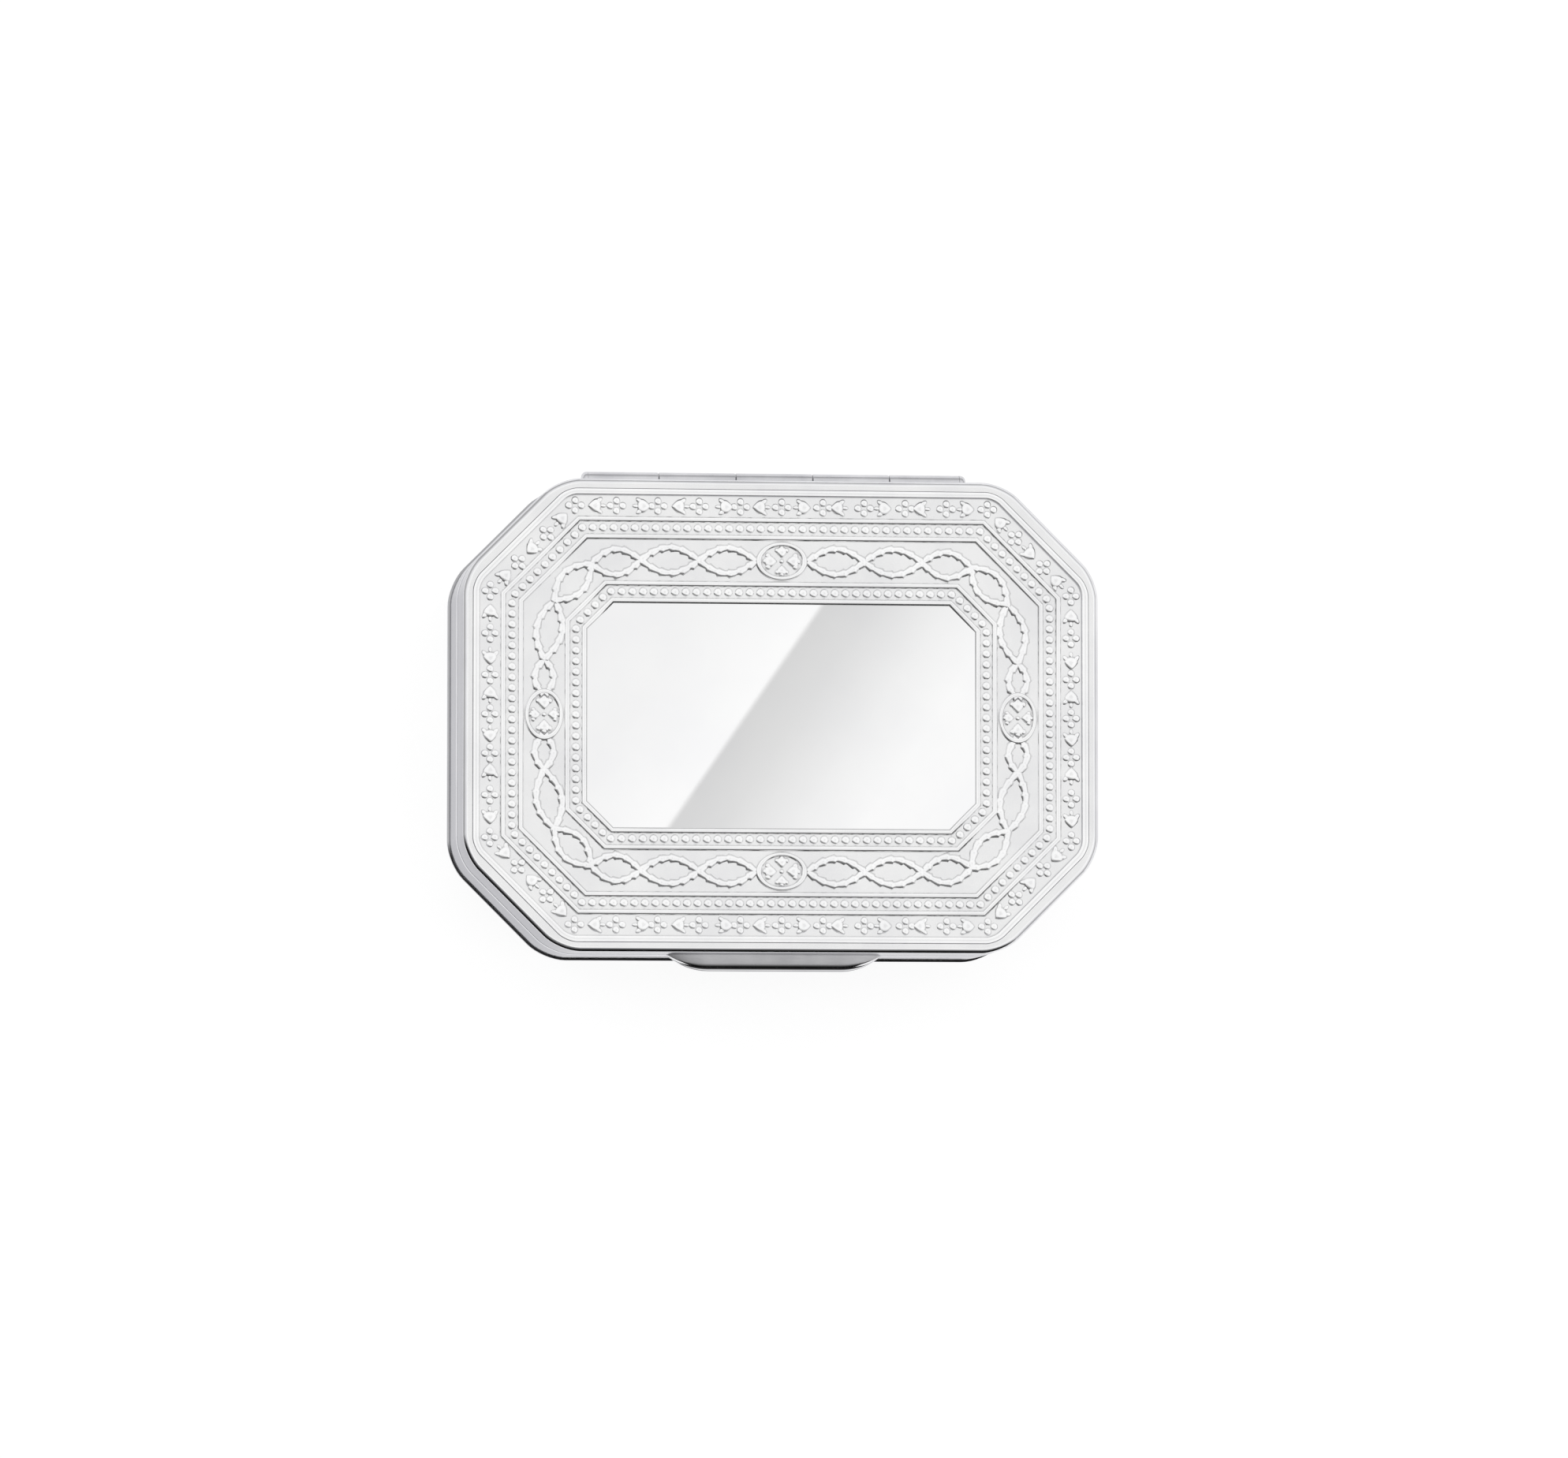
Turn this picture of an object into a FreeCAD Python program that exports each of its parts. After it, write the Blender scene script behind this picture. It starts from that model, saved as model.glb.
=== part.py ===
import FreeCAD, Part
import math
import os

Vector = FreeCAD.Vector

# Overall form, in millimetres: a rectangle with its four corners cut at 45 degrees
LID_LENGTH = 80.0
LID_DEPTH = 59.2
CORNER_CUT = 12.0
CORNER_ROUND = 6.5
BASE_HEIGHT = 11.0
PARTING_GAP = 0.1
LID_HEIGHT = 8.9

# Base: the bezel locates the lid, and the base wall fills the space outside it
LID_WALL = 0.65
BEZEL_CLEARANCE = 0.12
BEZEL_WALL = 0.5
BEZEL_RISE = 2.2
BEZEL_BEVEL = 0.15
BASE_PROUD = 0.15
BASE_SHOULDER = 0.35
BASE_PLATE = 1.0
FOOT_PROUD = 0.45
FOOT_BEVEL = 0.25

# Lid rim: a flat border, a half-round moulding and a ledge that carries the struck plate
RIM_FLAT = 1.2
RIM_BEVEL = 0.3
LID_EDGE_BEVEL = 0.12
MOULDING_WIDTH = 0.85
MOULDING_RISE = 0.15
OPENING_ROUND = 2.6
SEAT_DEPTH = 1.0
LEDGE_WIDTH = 1.0
LEDGE_THICKNESS = 0.6

# Struck plate: sunk grounds between four mitred frames, with beads and a guilloche on them
STRUCK_CUT = 12.4
PLATE_SEAM = 0.05
GROUND_DROP = 0.35
FRIEZE_WIDTH = 2.6
FRAME_WIDTH = 0.65
FRAME_RISE = 0.4
BEAD_CHANNEL = 1.45
BEAD_RADIUS = 0.54
BEAD_RISE = 0.48
OUTER_BEAD_PITCH = 1.32
INNER_BEAD_PITCH = 1.345
GUILLOCHE_WIDTH = 5.2
STRAND_WIDTH = 0.55
STRAND_RISE = 0.35
STRAND_SWING = 2.05
MEDALLION_LENGTH = 6.2
MEDALLION_WIDTH = 4.6
MEDALLION_RISE = 0.4

# Shares of half the width and of the rise that shape a moulding, from its foot to its crown
FRAME_SHARES = ((1, 0), (0.8, 0.6), (0.35, 1))
BORDER_SHARES = ((1, 0), (0.4, 1))
# Each bead's number of sides
BEAD_SIDES = 5
# Shares of a quarter of the guilloche's centre line at which its strands cross
CROSSING_SHARES = (0.072, 0.229, 0.39, 0.532, 0.674, 0.848, 0.948)
# Share of an eye's length at which its strands are widest apart
EYE_SHOULDER_SHARE = 0.3

# Hinge: five knuckles on one pin, its axis just outside the back wall
HINGE_LENGTH = 48.8
KNUCKLE_COUNT = 5
KNUCKLE_RADIUS = 1.2
KNUCKLE_GAP = 0.1
HINGE_CLEARANCE = 0.1
AXIS_OUT = 0.45
PIN_RADIUS = 0.5
PIN_CLEARANCE = 0.04
PLUG_HEAD = 0.8
PLUG_BEVEL = 0.5
PLUG_STEM = 1.0
BEARER_MARGIN = 0.8
BEARER_THICKNESS = 1.1
BEARER_HEIGHT = 2.4

# Thumb piece
THUMB_LENGTH = 27.2
THUMB_FRONT = 19.0
THUMB_REACH = 2.3
THUMB_EDGE = 0.35
THUMB_BORDER = 0.3
THUMB_RISE = 1.0
THUMB_FALL = 0.25
THUMB_ROLL = 0.7
THUMB_LIFT = 0.2

# Modelling aids: a length by which cutters pass the faces they cut, and a match tolerance
OVERRUN = 2.0
TOUCH = 0.0001

# Sizes that follow from the ones above
LID_BOTTOM = BASE_HEIGHT + PARTING_GAP
LID_TOP = LID_BOTTOM + LID_HEIGHT
SEAT_LEVEL = LID_TOP - SEAT_DEPTH
LEDGE_LEVEL = SEAT_LEVEL - LEDGE_THICKNESS
GROUND_LEVEL = LID_TOP - GROUND_DROP
BEZEL_INSET = LID_WALL + BEZEL_CLEARANCE
BEZEL_TOP = BASE_HEIGHT + BEZEL_RISE
OPENING_INSET = RIM_FLAT + MOULDING_WIDTH
AXIS_Y = LID_DEPTH / 2 + AXIS_OUT
AXIS_Z = BASE_HEIGHT + PARTING_GAP / 2
BORE_RADIUS = PIN_RADIUS + PIN_CLEARANCE
KNUCKLE_PITCH = HINGE_LENGTH / KNUCKLE_COUNT
BEARER_HALF = HINGE_LENGTH / 2 + BEARER_MARGIN
BEARER_FACE = LID_DEPTH / 2 - BEZEL_INSET - BEARER_THICKNESS


class CutCorner:
    """A rectangle with its corners cut at 45 degrees and, if wanted, rounded."""

    def __init__(self, length, depth, cut, rounding=0):
        self.length = length
        self.depth = depth
        self.cut = cut
        self.rounding = rounding

    def inset(self, distance):
        """The same form drawn inwards by a distance, or outwards by a negative one."""
        return CutCorner(
            self.length - 2 * distance,
            self.depth - 2 * distance,
            self.cut - distance * (2 - math.sqrt(2)),
            max(self.rounding - distance, 0) if self.rounding else 0,
        )

    def corners(self):
        """The eight corners, anticlockwise from the right end of the front side."""
        x = self.length / 2
        y = self.depth / 2
        cut = self.cut
        return [
            (x - cut, -y), (x, -y + cut), (x, y - cut), (x - cut, y),
            (-x + cut, y), (-x, y - cut), (-x, -y + cut), (-x + cut, -y),
        ]

    def wire(self, z):
        """The closed outline at a height; a rounded one begins at the middle of the front."""
        points = [Vector(x, y, z) for x, y in self.corners()]
        if not self.rounding:
            return Part.makePolygon(points + points[:1])
        start = Vector(0, -self.depth / 2, z)
        reach = self.rounding * math.tan(math.pi / 8)
        depth = self.rounding * (1 / math.cos(math.pi / 8) - 1)
        edges = []
        here = start
        for index, corner in enumerate(points):
            before = (points[index - 1] - corner).normalize()
            after = (points[(index + 1) % len(points)] - corner).normalize()
            first = corner + before * reach
            edges.append(Part.makeLine(here, first))
            here = corner + after * reach
            middle = corner + (before + after).normalize() * depth
            edges.append(Part.Arc(first, middle, here).toShape())
        edges.append(Part.makeLine(here, start))
        return Part.Wire(edges)

    def walk(self, distance):
        """A place on the sharp outline, anticlockwise from the front's middle, and the way out from it."""
        start = Vector(0, -self.depth / 2, 0)
        here = start
        left = distance
        for corner in [Vector(x, y, 0) for x, y in self.corners()] + [start]:
            run = corner - here
            if left <= run.Length:
                break
            left -= run.Length
            here = corner
        ahead = run.normalize()
        return here + ahead * left, Vector(ahead.y, -ahead.x, 0)

    def prism(self, bottom, top):
        """A solid of this outline between two heights."""
        return Part.Face(self.wire(bottom)).extrude(Vector(0, 0, top - bottom))


WALL = CutCorner(LID_LENGTH, LID_DEPTH, CORNER_CUT, CORNER_ROUND)
STRUCK = CutCorner(LID_LENGTH, LID_DEPTH, STRUCK_CUT)
OPENING = CutCorner(
    LID_LENGTH - 2 * OPENING_INSET,
    LID_DEPTH - 2 * OPENING_INSET,
    STRUCK.inset(OPENING_INSET).cut,
    OPENING_ROUND,
)


def ring(outer, inner, bottom, top):
    """A band between two outlines."""
    return outer.prism(bottom, top).cut(inner.prism(bottom, top))


def edges_on(shape, outline, z):
    """The edges of a shape that lie on an outline at a height."""
    path = outline.wire(z)
    found = []
    for edge in shape.Edges:
        low, high = edge.ParameterRange
        middle = edge.valueAt((low + high) / 2)
        if path.distToShape(Part.Vertex(middle))[0] < TOUCH:
            found.append(edge)
    return found


def moulding(outline, width, rise, shares, z):
    """A rounded moulding that runs along an outline with mitred or swept corners."""
    y = -outline.depth / 2
    near = [Vector(0, y - across * width / 2, z + up * rise) for across, up in shares]
    far = [Vector(0, y + across * width / 2, z + up * rise) for across, up in shares]
    section = near + far[::-1] + near[:1]
    corner_style = 0 if outline.rounding else 1
    return outline.wire(z).makePipeShell([Part.makePolygon(section)], True, False, corner_style)


def along_hinge(radius, start, end):
    """A cylinder on the hinge axis between two places along it."""
    return Part.makeCylinder(radius, end - start, Vector(start, AXIS_Y, AXIS_Z), Vector(1, 0, 0))


def knuckle_span(index):
    """Where a knuckle of the hinge begins and ends."""
    start = -HINGE_LENGTH / 2 + index * KNUCKLE_PITCH + KNUCKLE_GAP / 2
    end = start + KNUCKLE_PITCH - KNUCKLE_GAP
    if index == 0:
        start = -HINGE_LENGTH / 2 + PLUG_HEAD
    if index == KNUCKLE_COUNT - 1:
        end = HINGE_LENGTH / 2 - PLUG_HEAD
    return start, end


def hinge_trough(own):
    """The space cut for the hinge: a tight seat at a body's own knuckles, clearance at the others."""
    seats = {index: knuckle_span(index) for index in own}
    loose = KNUCKLE_RADIUS + HINGE_CLEARANCE
    trough = along_hinge(
        loose,
        -HINGE_LENGTH / 2 - HINGE_CLEARANCE,
        HINGE_LENGTH / 2 + HINGE_CLEARANCE,
    )
    for start, end in seats.values():
        trough = trough.cut(along_hinge(loose, start, end))
    for start, end in seats.values():
        trough = trough.fuse(along_hinge(KNUCKLE_RADIUS, start, end))
    return trough.removeSplitter()


def base_indices():
    """The knuckles that belong to the base: every other one, from the ends."""
    return list(range(0, KNUCKLE_COUNT, 2))


def lid_indices():
    """The knuckles that belong to the lid."""
    return list(range(1, KNUCKLE_COUNT, 2))


def make_base_plate():
    """The bottom sheet, its bevelled edge standing out as a foot."""
    foot = WALL.inset(-FOOT_PROUD)
    plate = foot.prism(0, BASE_PLATE)
    plate = plate.makeChamfer(FOOT_PROUD - BASE_PROUD, edges_on(plate, foot, BASE_PLATE))
    return plate.makeChamfer(FOOT_BEVEL, edges_on(plate, foot, 0))


def make_base_wall():
    """The base's side band with its soft shoulder."""
    outer = WALL.inset(-BASE_PROUD)
    band = ring(outer, WALL.inset(BEZEL_INSET), BASE_PLATE, BASE_HEIGHT)
    band = band.makeChamfer(BASE_SHOULDER, edges_on(band, outer, BASE_HEIGHT))
    return band.cut(hinge_trough(base_indices()))


def make_base_bezel():
    """The inner collar, cut away behind the hinge."""
    outer = WALL.inset(BEZEL_INSET)
    inner = outer.inset(BEZEL_WALL)
    collar = ring(outer, inner, BASE_PLATE, BEZEL_TOP)
    rims = edges_on(collar, outer, BEZEL_TOP) + edges_on(collar, inner, BEZEL_TOP)
    collar = collar.makeChamfer(BEZEL_BEVEL, rims)
    notch_half = BEARER_HALF + BEZEL_CLEARANCE
    notch_bottom = BASE_HEIGHT - BEARER_HEIGHT
    notch = Part.makeBox(
        2 * notch_half,
        BEARER_THICKNESS + OVERRUN,
        BEARER_HEIGHT + BEZEL_RISE + OVERRUN,
        Vector(-notch_half, BEARER_FACE, notch_bottom),
    )
    return collar.cut(notch)


def bearer(wall_inset, bottom, own):
    """A strip inside a back wall, shaped to the wall and hollowed for the knuckles."""
    strip = Part.makeBox(
        2 * BEARER_HALF,
        LID_DEPTH / 2 - BEARER_FACE,
        BEARER_HEIGHT,
        Vector(-BEARER_HALF, BEARER_FACE, bottom),
    )
    inside = WALL.inset(wall_inset).prism(bottom, bottom + BEARER_HEIGHT)
    return strip.common(inside).cut(hinge_trough(own))


def make_base_joint_bearer():
    """The strip that carries the base's knuckles."""
    return bearer(BEZEL_INSET, BASE_HEIGHT - BEARER_HEIGHT, base_indices())


def make_lid_joint_bearer():
    """The strip that carries the lid's knuckles."""
    return bearer(LID_WALL, LID_BOTTOM, lid_indices())


def make_knuckle(index):
    """One tube of the hinge."""
    start, end = knuckle_span(index)
    return along_hinge(KNUCKLE_RADIUS, start, end).cut(along_hinge(BORE_RADIUS, start, end))


def make_hinge_pin():
    """The wire that the lid turns on, held between the plugs."""
    half = HINGE_LENGTH / 2 - PLUG_HEAD - PLUG_STEM
    return along_hinge(PIN_RADIUS, -half, half)


def make_hinge_plug(side):
    """A bevelled cap with a stem that fits the end knuckle's bore."""
    tip = side * HINGE_LENGTH / 2
    seat = tip - side * PLUG_HEAD
    head = along_hinge(KNUCKLE_RADIUS, min(tip, seat), max(tip, seat))
    rims = [edge for edge in head.Edges if edge.Closed and abs(edge.CenterOfMass.x - tip) < TOUCH]
    head = head.makeChamfer(PLUG_BEVEL, rims)
    end = seat - side * PLUG_STEM
    return head.fuse(along_hinge(BORE_RADIUS, min(seat, end), max(seat, end))).removeSplitter()


def make_lid_rim():
    """The lid's side band, flat border, moulding and the ledge for the struck plate."""
    band = WALL.prism(LID_BOTTOM, LID_TOP)
    band = band.cut(WALL.inset(LID_WALL).prism(LID_BOTTOM, LEDGE_LEVEL))
    band = band.cut(OPENING.prism(SEAT_LEVEL, LID_TOP))
    band = band.cut(OPENING.inset(LEDGE_WIDTH).prism(LEDGE_LEVEL, SEAT_LEVEL))
    band = band.makeChamfer(RIM_BEVEL, edges_on(band, WALL, LID_TOP))
    band = band.makeChamfer(LID_EDGE_BEVEL, edges_on(band, WALL, LID_BOTTOM))
    path = OPENING.inset(-MOULDING_WIDTH / 2)
    border = moulding(path, MOULDING_WIDTH, MOULDING_RISE, BORDER_SHARES, LID_TOP)
    return band.fuse(border).removeSplitter().cut(hinge_trough(lid_indices()))


def frame_insets():
    """How far in from the outline each of the four frames is centred."""
    frame_1 = OPENING_INSET + FRIEZE_WIDTH + FRAME_WIDTH / 2
    frame_2 = frame_1 + FRAME_WIDTH + BEAD_CHANNEL
    frame_3 = frame_2 + FRAME_WIDTH + GUILLOCHE_WIDTH
    frame_4 = frame_3 + FRAME_WIDTH + BEAD_CHANNEL
    return [frame_1, frame_2, frame_3, frame_4]


def polygon(sides, radius, z):
    """A regular polygon at a height."""
    turns = [2 * math.pi * side / sides for side in range(sides + 1)]
    return Part.makePolygon([Vector(radius * math.cos(turn), radius * math.sin(turn), z) for turn in turns])


def bead_row(inset, pitch):
    """Pointed beads at an even spacing round the plate, one at the middle of the front."""
    outline = STRUCK.inset(inset)
    length = outline.wire(0).Length
    count = 2 * round(length / pitch / 2)
    foot = polygon(BEAD_SIDES, BEAD_RADIUS, GROUND_LEVEL)
    bead = Part.makeLoft([foot, Part.Vertex(0, 0, GROUND_LEVEL + BEAD_RISE)], True, True)
    return [bead.translated(outline.walk(length * index / count)[0]) for index in range(count)]


def eye(outline, start, end):
    """One almond-shaped loop of the guilloche, lapping its neighbours at two crossings."""
    tip, _ = outline.walk(start - STRAND_WIDTH / 2)
    tail, _ = outline.walk(end + STRAND_WIDTH / 2)
    near, near_out = outline.walk(start + (end - start) * EYE_SHOULDER_SHARE)
    far, far_out = outline.walk(end - (end - start) * EYE_SHOULDER_SHARE)
    swing = STRAND_SWING
    points = [
        tip, near + near_out * swing, far + far_out * swing,
        tail, far - far_out * swing, near - near_out * swing, tip,
    ]
    loop = Part.Wire(Part.makePolygon(points).Edges)
    face = Part.Face(loop)
    hole = loop.makeOffset2D(-STRAND_WIDTH)
    strand = face.cut(Part.Face(hole))
    strand.translate(Vector(0, 0, GROUND_LEVEL))
    return strand.extrude(Vector(0, 0, STRAND_RISE))


def guilloche(inset):
    """The interlaced band: four mirrored quarters of eyes between the medallions."""
    outline = STRUCK.inset(inset)
    length = outline.wire(0).Length
    quarter = length / 4
    stations = [share * quarter for share in CROSSING_SHARES]
    loops = []
    for start, end in zip(stations, stations[1:]):
        loops.append(eye(outline, start, end))
        loops.append(eye(outline, length / 2 - end, length / 2 - start))
        loops.append(eye(outline, length / 2 + start, length / 2 + end))
        loops.append(eye(outline, length - end, length - start))
    return loops


def medallion(centre, turned):
    """An oval boss."""
    oval = Part.Ellipse(Vector(), MEDALLION_LENGTH / 2, MEDALLION_WIDTH / 2)
    boss = Part.Face(Part.Wire(oval.toShape())).extrude(Vector(0, 0, MEDALLION_RISE))
    if turned:
        boss.rotate(Vector(), Vector(0, 0, 1), 90)
    boss.translate(Vector(centre[0], centre[1], GROUND_LEVEL))
    return boss


def medallions(inset):
    """The four ovals at the middles of the sides."""
    outline = STRUCK.inset(inset)
    x = outline.length / 2
    y = outline.depth / 2
    return [
        medallion((0, y), False), medallion((0, -y), False),
        medallion((x, 0), True), medallion((-x, 0), True),
    ]


def make_lid_plate():
    """The struck plate: a sheet whose sunk grounds carry frames, bead rows and the guilloche."""
    frame_1, frame_2, frame_3, frame_4 = frame_insets()
    plate = OPENING.inset(PLATE_SEAM).prism(SEAT_LEVEL, GROUND_LEVEL)
    relief = [moulding(STRUCK.inset(inset), FRAME_WIDTH, FRAME_RISE, FRAME_SHARES, GROUND_LEVEL)
              for inset in frame_insets()]
    relief += bead_row((frame_1 + frame_2) / 2, OUTER_BEAD_PITCH)
    relief += bead_row((frame_3 + frame_4) / 2, INNER_BEAD_PITCH)
    relief += guilloche((frame_2 + frame_3) / 2)
    relief += medallions((frame_2 + frame_3) / 2)
    return plate.fuse(relief).removeSplitter()


def thumb_outline(border, z):
    """The boat-shaped plan of the thumb piece, drawn in by a border on its free sides."""
    root = -LID_DEPTH / 2
    front = root - THUMB_REACH + border
    half_root = THUMB_LENGTH / 2 - border
    half_front = THUMB_FRONT / 2
    run = half_root - half_front
    fall = root - front
    radius = (run * run + fall * fall) / (2 * fall)
    half_turn = math.atan2(fall, run)
    bow_x = half_front + radius * math.sin(half_turn)
    bow_y = front + radius * (1 - math.cos(half_turn))
    left = Part.Arc(Vector(-half_root, root, z), Vector(-bow_x, bow_y, z), Vector(-half_front, front, z))
    right = Part.Arc(Vector(half_front, front, z), Vector(bow_x, bow_y, z), Vector(half_root, root, z))
    edges = [
        left.toShape(),
        Part.makeLine(Vector(-half_front, front, z), Vector(half_front, front, z)),
        right.toShape(),
        Part.makeLine(Vector(half_root, root, z), Vector(-half_root, root, z)),
    ]
    return Part.Face(Part.Wire(edges))


def make_thumb_piece():
    """The grip on the lid's front wall: a thin edge under a sloped, rolled-over body."""
    bottom = LID_BOTTOM + THUMB_LIFT
    body_bottom = bottom + THUMB_EDGE
    edge = thumb_outline(0, bottom).extrude(Vector(0, 0, THUMB_EDGE))
    body = thumb_outline(THUMB_BORDER, body_bottom).extrude(Vector(0, 0, THUMB_RISE))
    root = -LID_DEPTH / 2
    front = root - THUMB_REACH + THUMB_BORDER
    half = THUMB_LENGTH / 2
    shoulder = Vector(-half, front + THUMB_ROLL, body_bottom + THUMB_RISE - THUMB_FALL)
    toe = Vector(-half, front, body_bottom)
    swell = math.sin(math.pi / 4)
    bulge = Vector(-half, shoulder.y - THUMB_ROLL * swell, toe.z + (shoulder.z - toe.z) * swell)
    heel = Vector(-half, root, body_bottom)
    crest = Vector(-half, root, body_bottom + THUMB_RISE)
    section = Part.Wire([
        Part.makeLine(heel, crest),
        Part.makeLine(crest, shoulder),
        Part.Arc(shoulder, bulge, toe).toShape(),
        Part.makeLine(toe, heel),
    ])
    roll = Part.Face(section).extrude(Vector(THUMB_LENGTH, 0, 0))
    return edge.fuse(body.common(roll)).removeSplitter()


def export(name, shape):
    """Write one piece as parts/NAME.step."""
    shape.exportStep(os.path.join("parts", name + ".step"))


def main():
    """Build every piece and write it out."""
    os.makedirs("parts", exist_ok=True)
    export("base_plate", make_base_plate())
    export("base_wall", make_base_wall())
    export("base_bezel", make_base_bezel())
    export("base_joint_bearer", make_base_joint_bearer())
    for name, index in zip(("left", "centre", "right"), base_indices()):
        export("base_knuckle_" + name, make_knuckle(index))
    export("hinge_pin", make_hinge_pin())
    export("hinge_plug_left", make_hinge_plug(-1))
    export("hinge_plug_right", make_hinge_plug(1))
    export("lid_rim", make_lid_rim())
    export("lid_plate", make_lid_plate())
    export("lid_joint_bearer", make_lid_joint_bearer())
    for name, index in zip(("left", "right"), lid_indices()):
        export("lid_knuckle_" + name, make_knuckle(index))
    export("thumb_piece", make_thumb_piece())


main()
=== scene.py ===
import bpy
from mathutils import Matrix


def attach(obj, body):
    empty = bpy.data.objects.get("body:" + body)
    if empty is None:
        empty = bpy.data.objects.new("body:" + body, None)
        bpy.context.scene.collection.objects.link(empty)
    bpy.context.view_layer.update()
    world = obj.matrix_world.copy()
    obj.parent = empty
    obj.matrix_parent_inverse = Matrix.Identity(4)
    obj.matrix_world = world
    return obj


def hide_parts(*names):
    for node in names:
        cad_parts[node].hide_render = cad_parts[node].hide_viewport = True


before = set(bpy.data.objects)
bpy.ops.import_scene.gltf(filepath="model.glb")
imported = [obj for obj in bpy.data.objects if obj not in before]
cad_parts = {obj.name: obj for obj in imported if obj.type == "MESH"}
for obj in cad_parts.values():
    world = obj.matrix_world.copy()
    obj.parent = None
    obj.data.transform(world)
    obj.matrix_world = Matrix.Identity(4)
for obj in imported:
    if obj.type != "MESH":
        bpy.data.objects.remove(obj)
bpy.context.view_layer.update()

import logging
import math
from dataclasses import dataclass
from enum import Enum
from functools import cache
from typing import Iterable, Sequence

import bmesh
import bpy
from mathutils import Matrix, Vector

logging.basicConfig(level=logging.INFO, format="%(message)s")
LOG = logging.getLogger("trinket_box")

# Meshes are modelled in millimetres and set in the frame in metres
MM = 0.001
# Points closer than this are one point
MERGE = 0.0005
# How far the foot of struck relief lies below its ground
SUNK = 0.02
# Edges sharper than this, in degrees, stay sharp: on plain pieces, the foot, the grip and relief
PLAIN_CREASE, FOOT_CREASE, GRIP_CREASE, RELIEF_CREASE = 50.0, 30.0, 40.0, 60.0
# A face whose normal rises less than this looks down
LOOKS_DOWN = -0.5
X_AXIS, Z_AXIS = (1.0, 0.0, 0.0), (0.0, 0.0, 1.0)
# Sockets of a Mix node: its two colours and their result, and its two plain values
COLOUR_A, COLOUR_B, COLOUR_OUT = 6, 7, 2
VALUE_A, VALUE_B = 2, 3
# Types that come often: points of a section or profile, a closed loop, and a node tree with its sockets
Pair = tuple[float, float]
Triple = tuple[float, float, float]
Points = tuple[Pair, ...]
Loop = list[bmesh.types.BMEdge]
Tree = bpy.types.NodeTree
Socket = bpy.types.NodeSocket


class Body(Enum):
    """The two bodies of the box."""

    BASE = "base"
    LID = "lid"


class Slot(Enum):
    """The record's finishes."""

    POLISHED = "polished_silver"
    STRUCK = "struck_silver"
    SATIN = "satin_silver"
    WIRE = "hinge_wire"


class Tip(Enum):
    """Which way a bud of the frieze points along the run of its side."""

    AHEAD = 1
    BACK = -1


def linear(code: str) -> tuple[float, float, float, float]:
    """Turn an sRGB hex colour into linear light.

    Args:
        code: Six hex digits after a hash sign.

    Returns:
        Red, green, blue and an alpha of one.
    """
    shares = [int(code[i:i + 2], 16) / 255 for i in (1, 3, 5)]
    red, green, blue = [s / 12.92 if s <= 0.04045 else ((s + 0.055) / 1.055) ** 2.4 for s in shares]
    return red, green, blue, 1.0


def add_node(tree: Tree, kind: str, inputs: dict | None = None, **settings) -> bpy.types.Node:
    """Add a node with its settings, and set or link its inputs.

    Args:
        tree: The node tree that takes it.
        kind: The node's type.
        inputs: Socket names or numbers, each with a value or with the socket that feeds it.
        **settings: Values for the node's own properties.

    Returns:
        The new node.
    """
    node = tree.nodes.new(kind)
    for name, value in settings.items():
        setattr(node, name, value)
    for socket, value in (inputs or {}).items():
        if isinstance(value, Socket):
            tree.links.new(value, node.inputs[socket])
        else:
            node.inputs[socket].default_value = value
    return node


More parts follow.
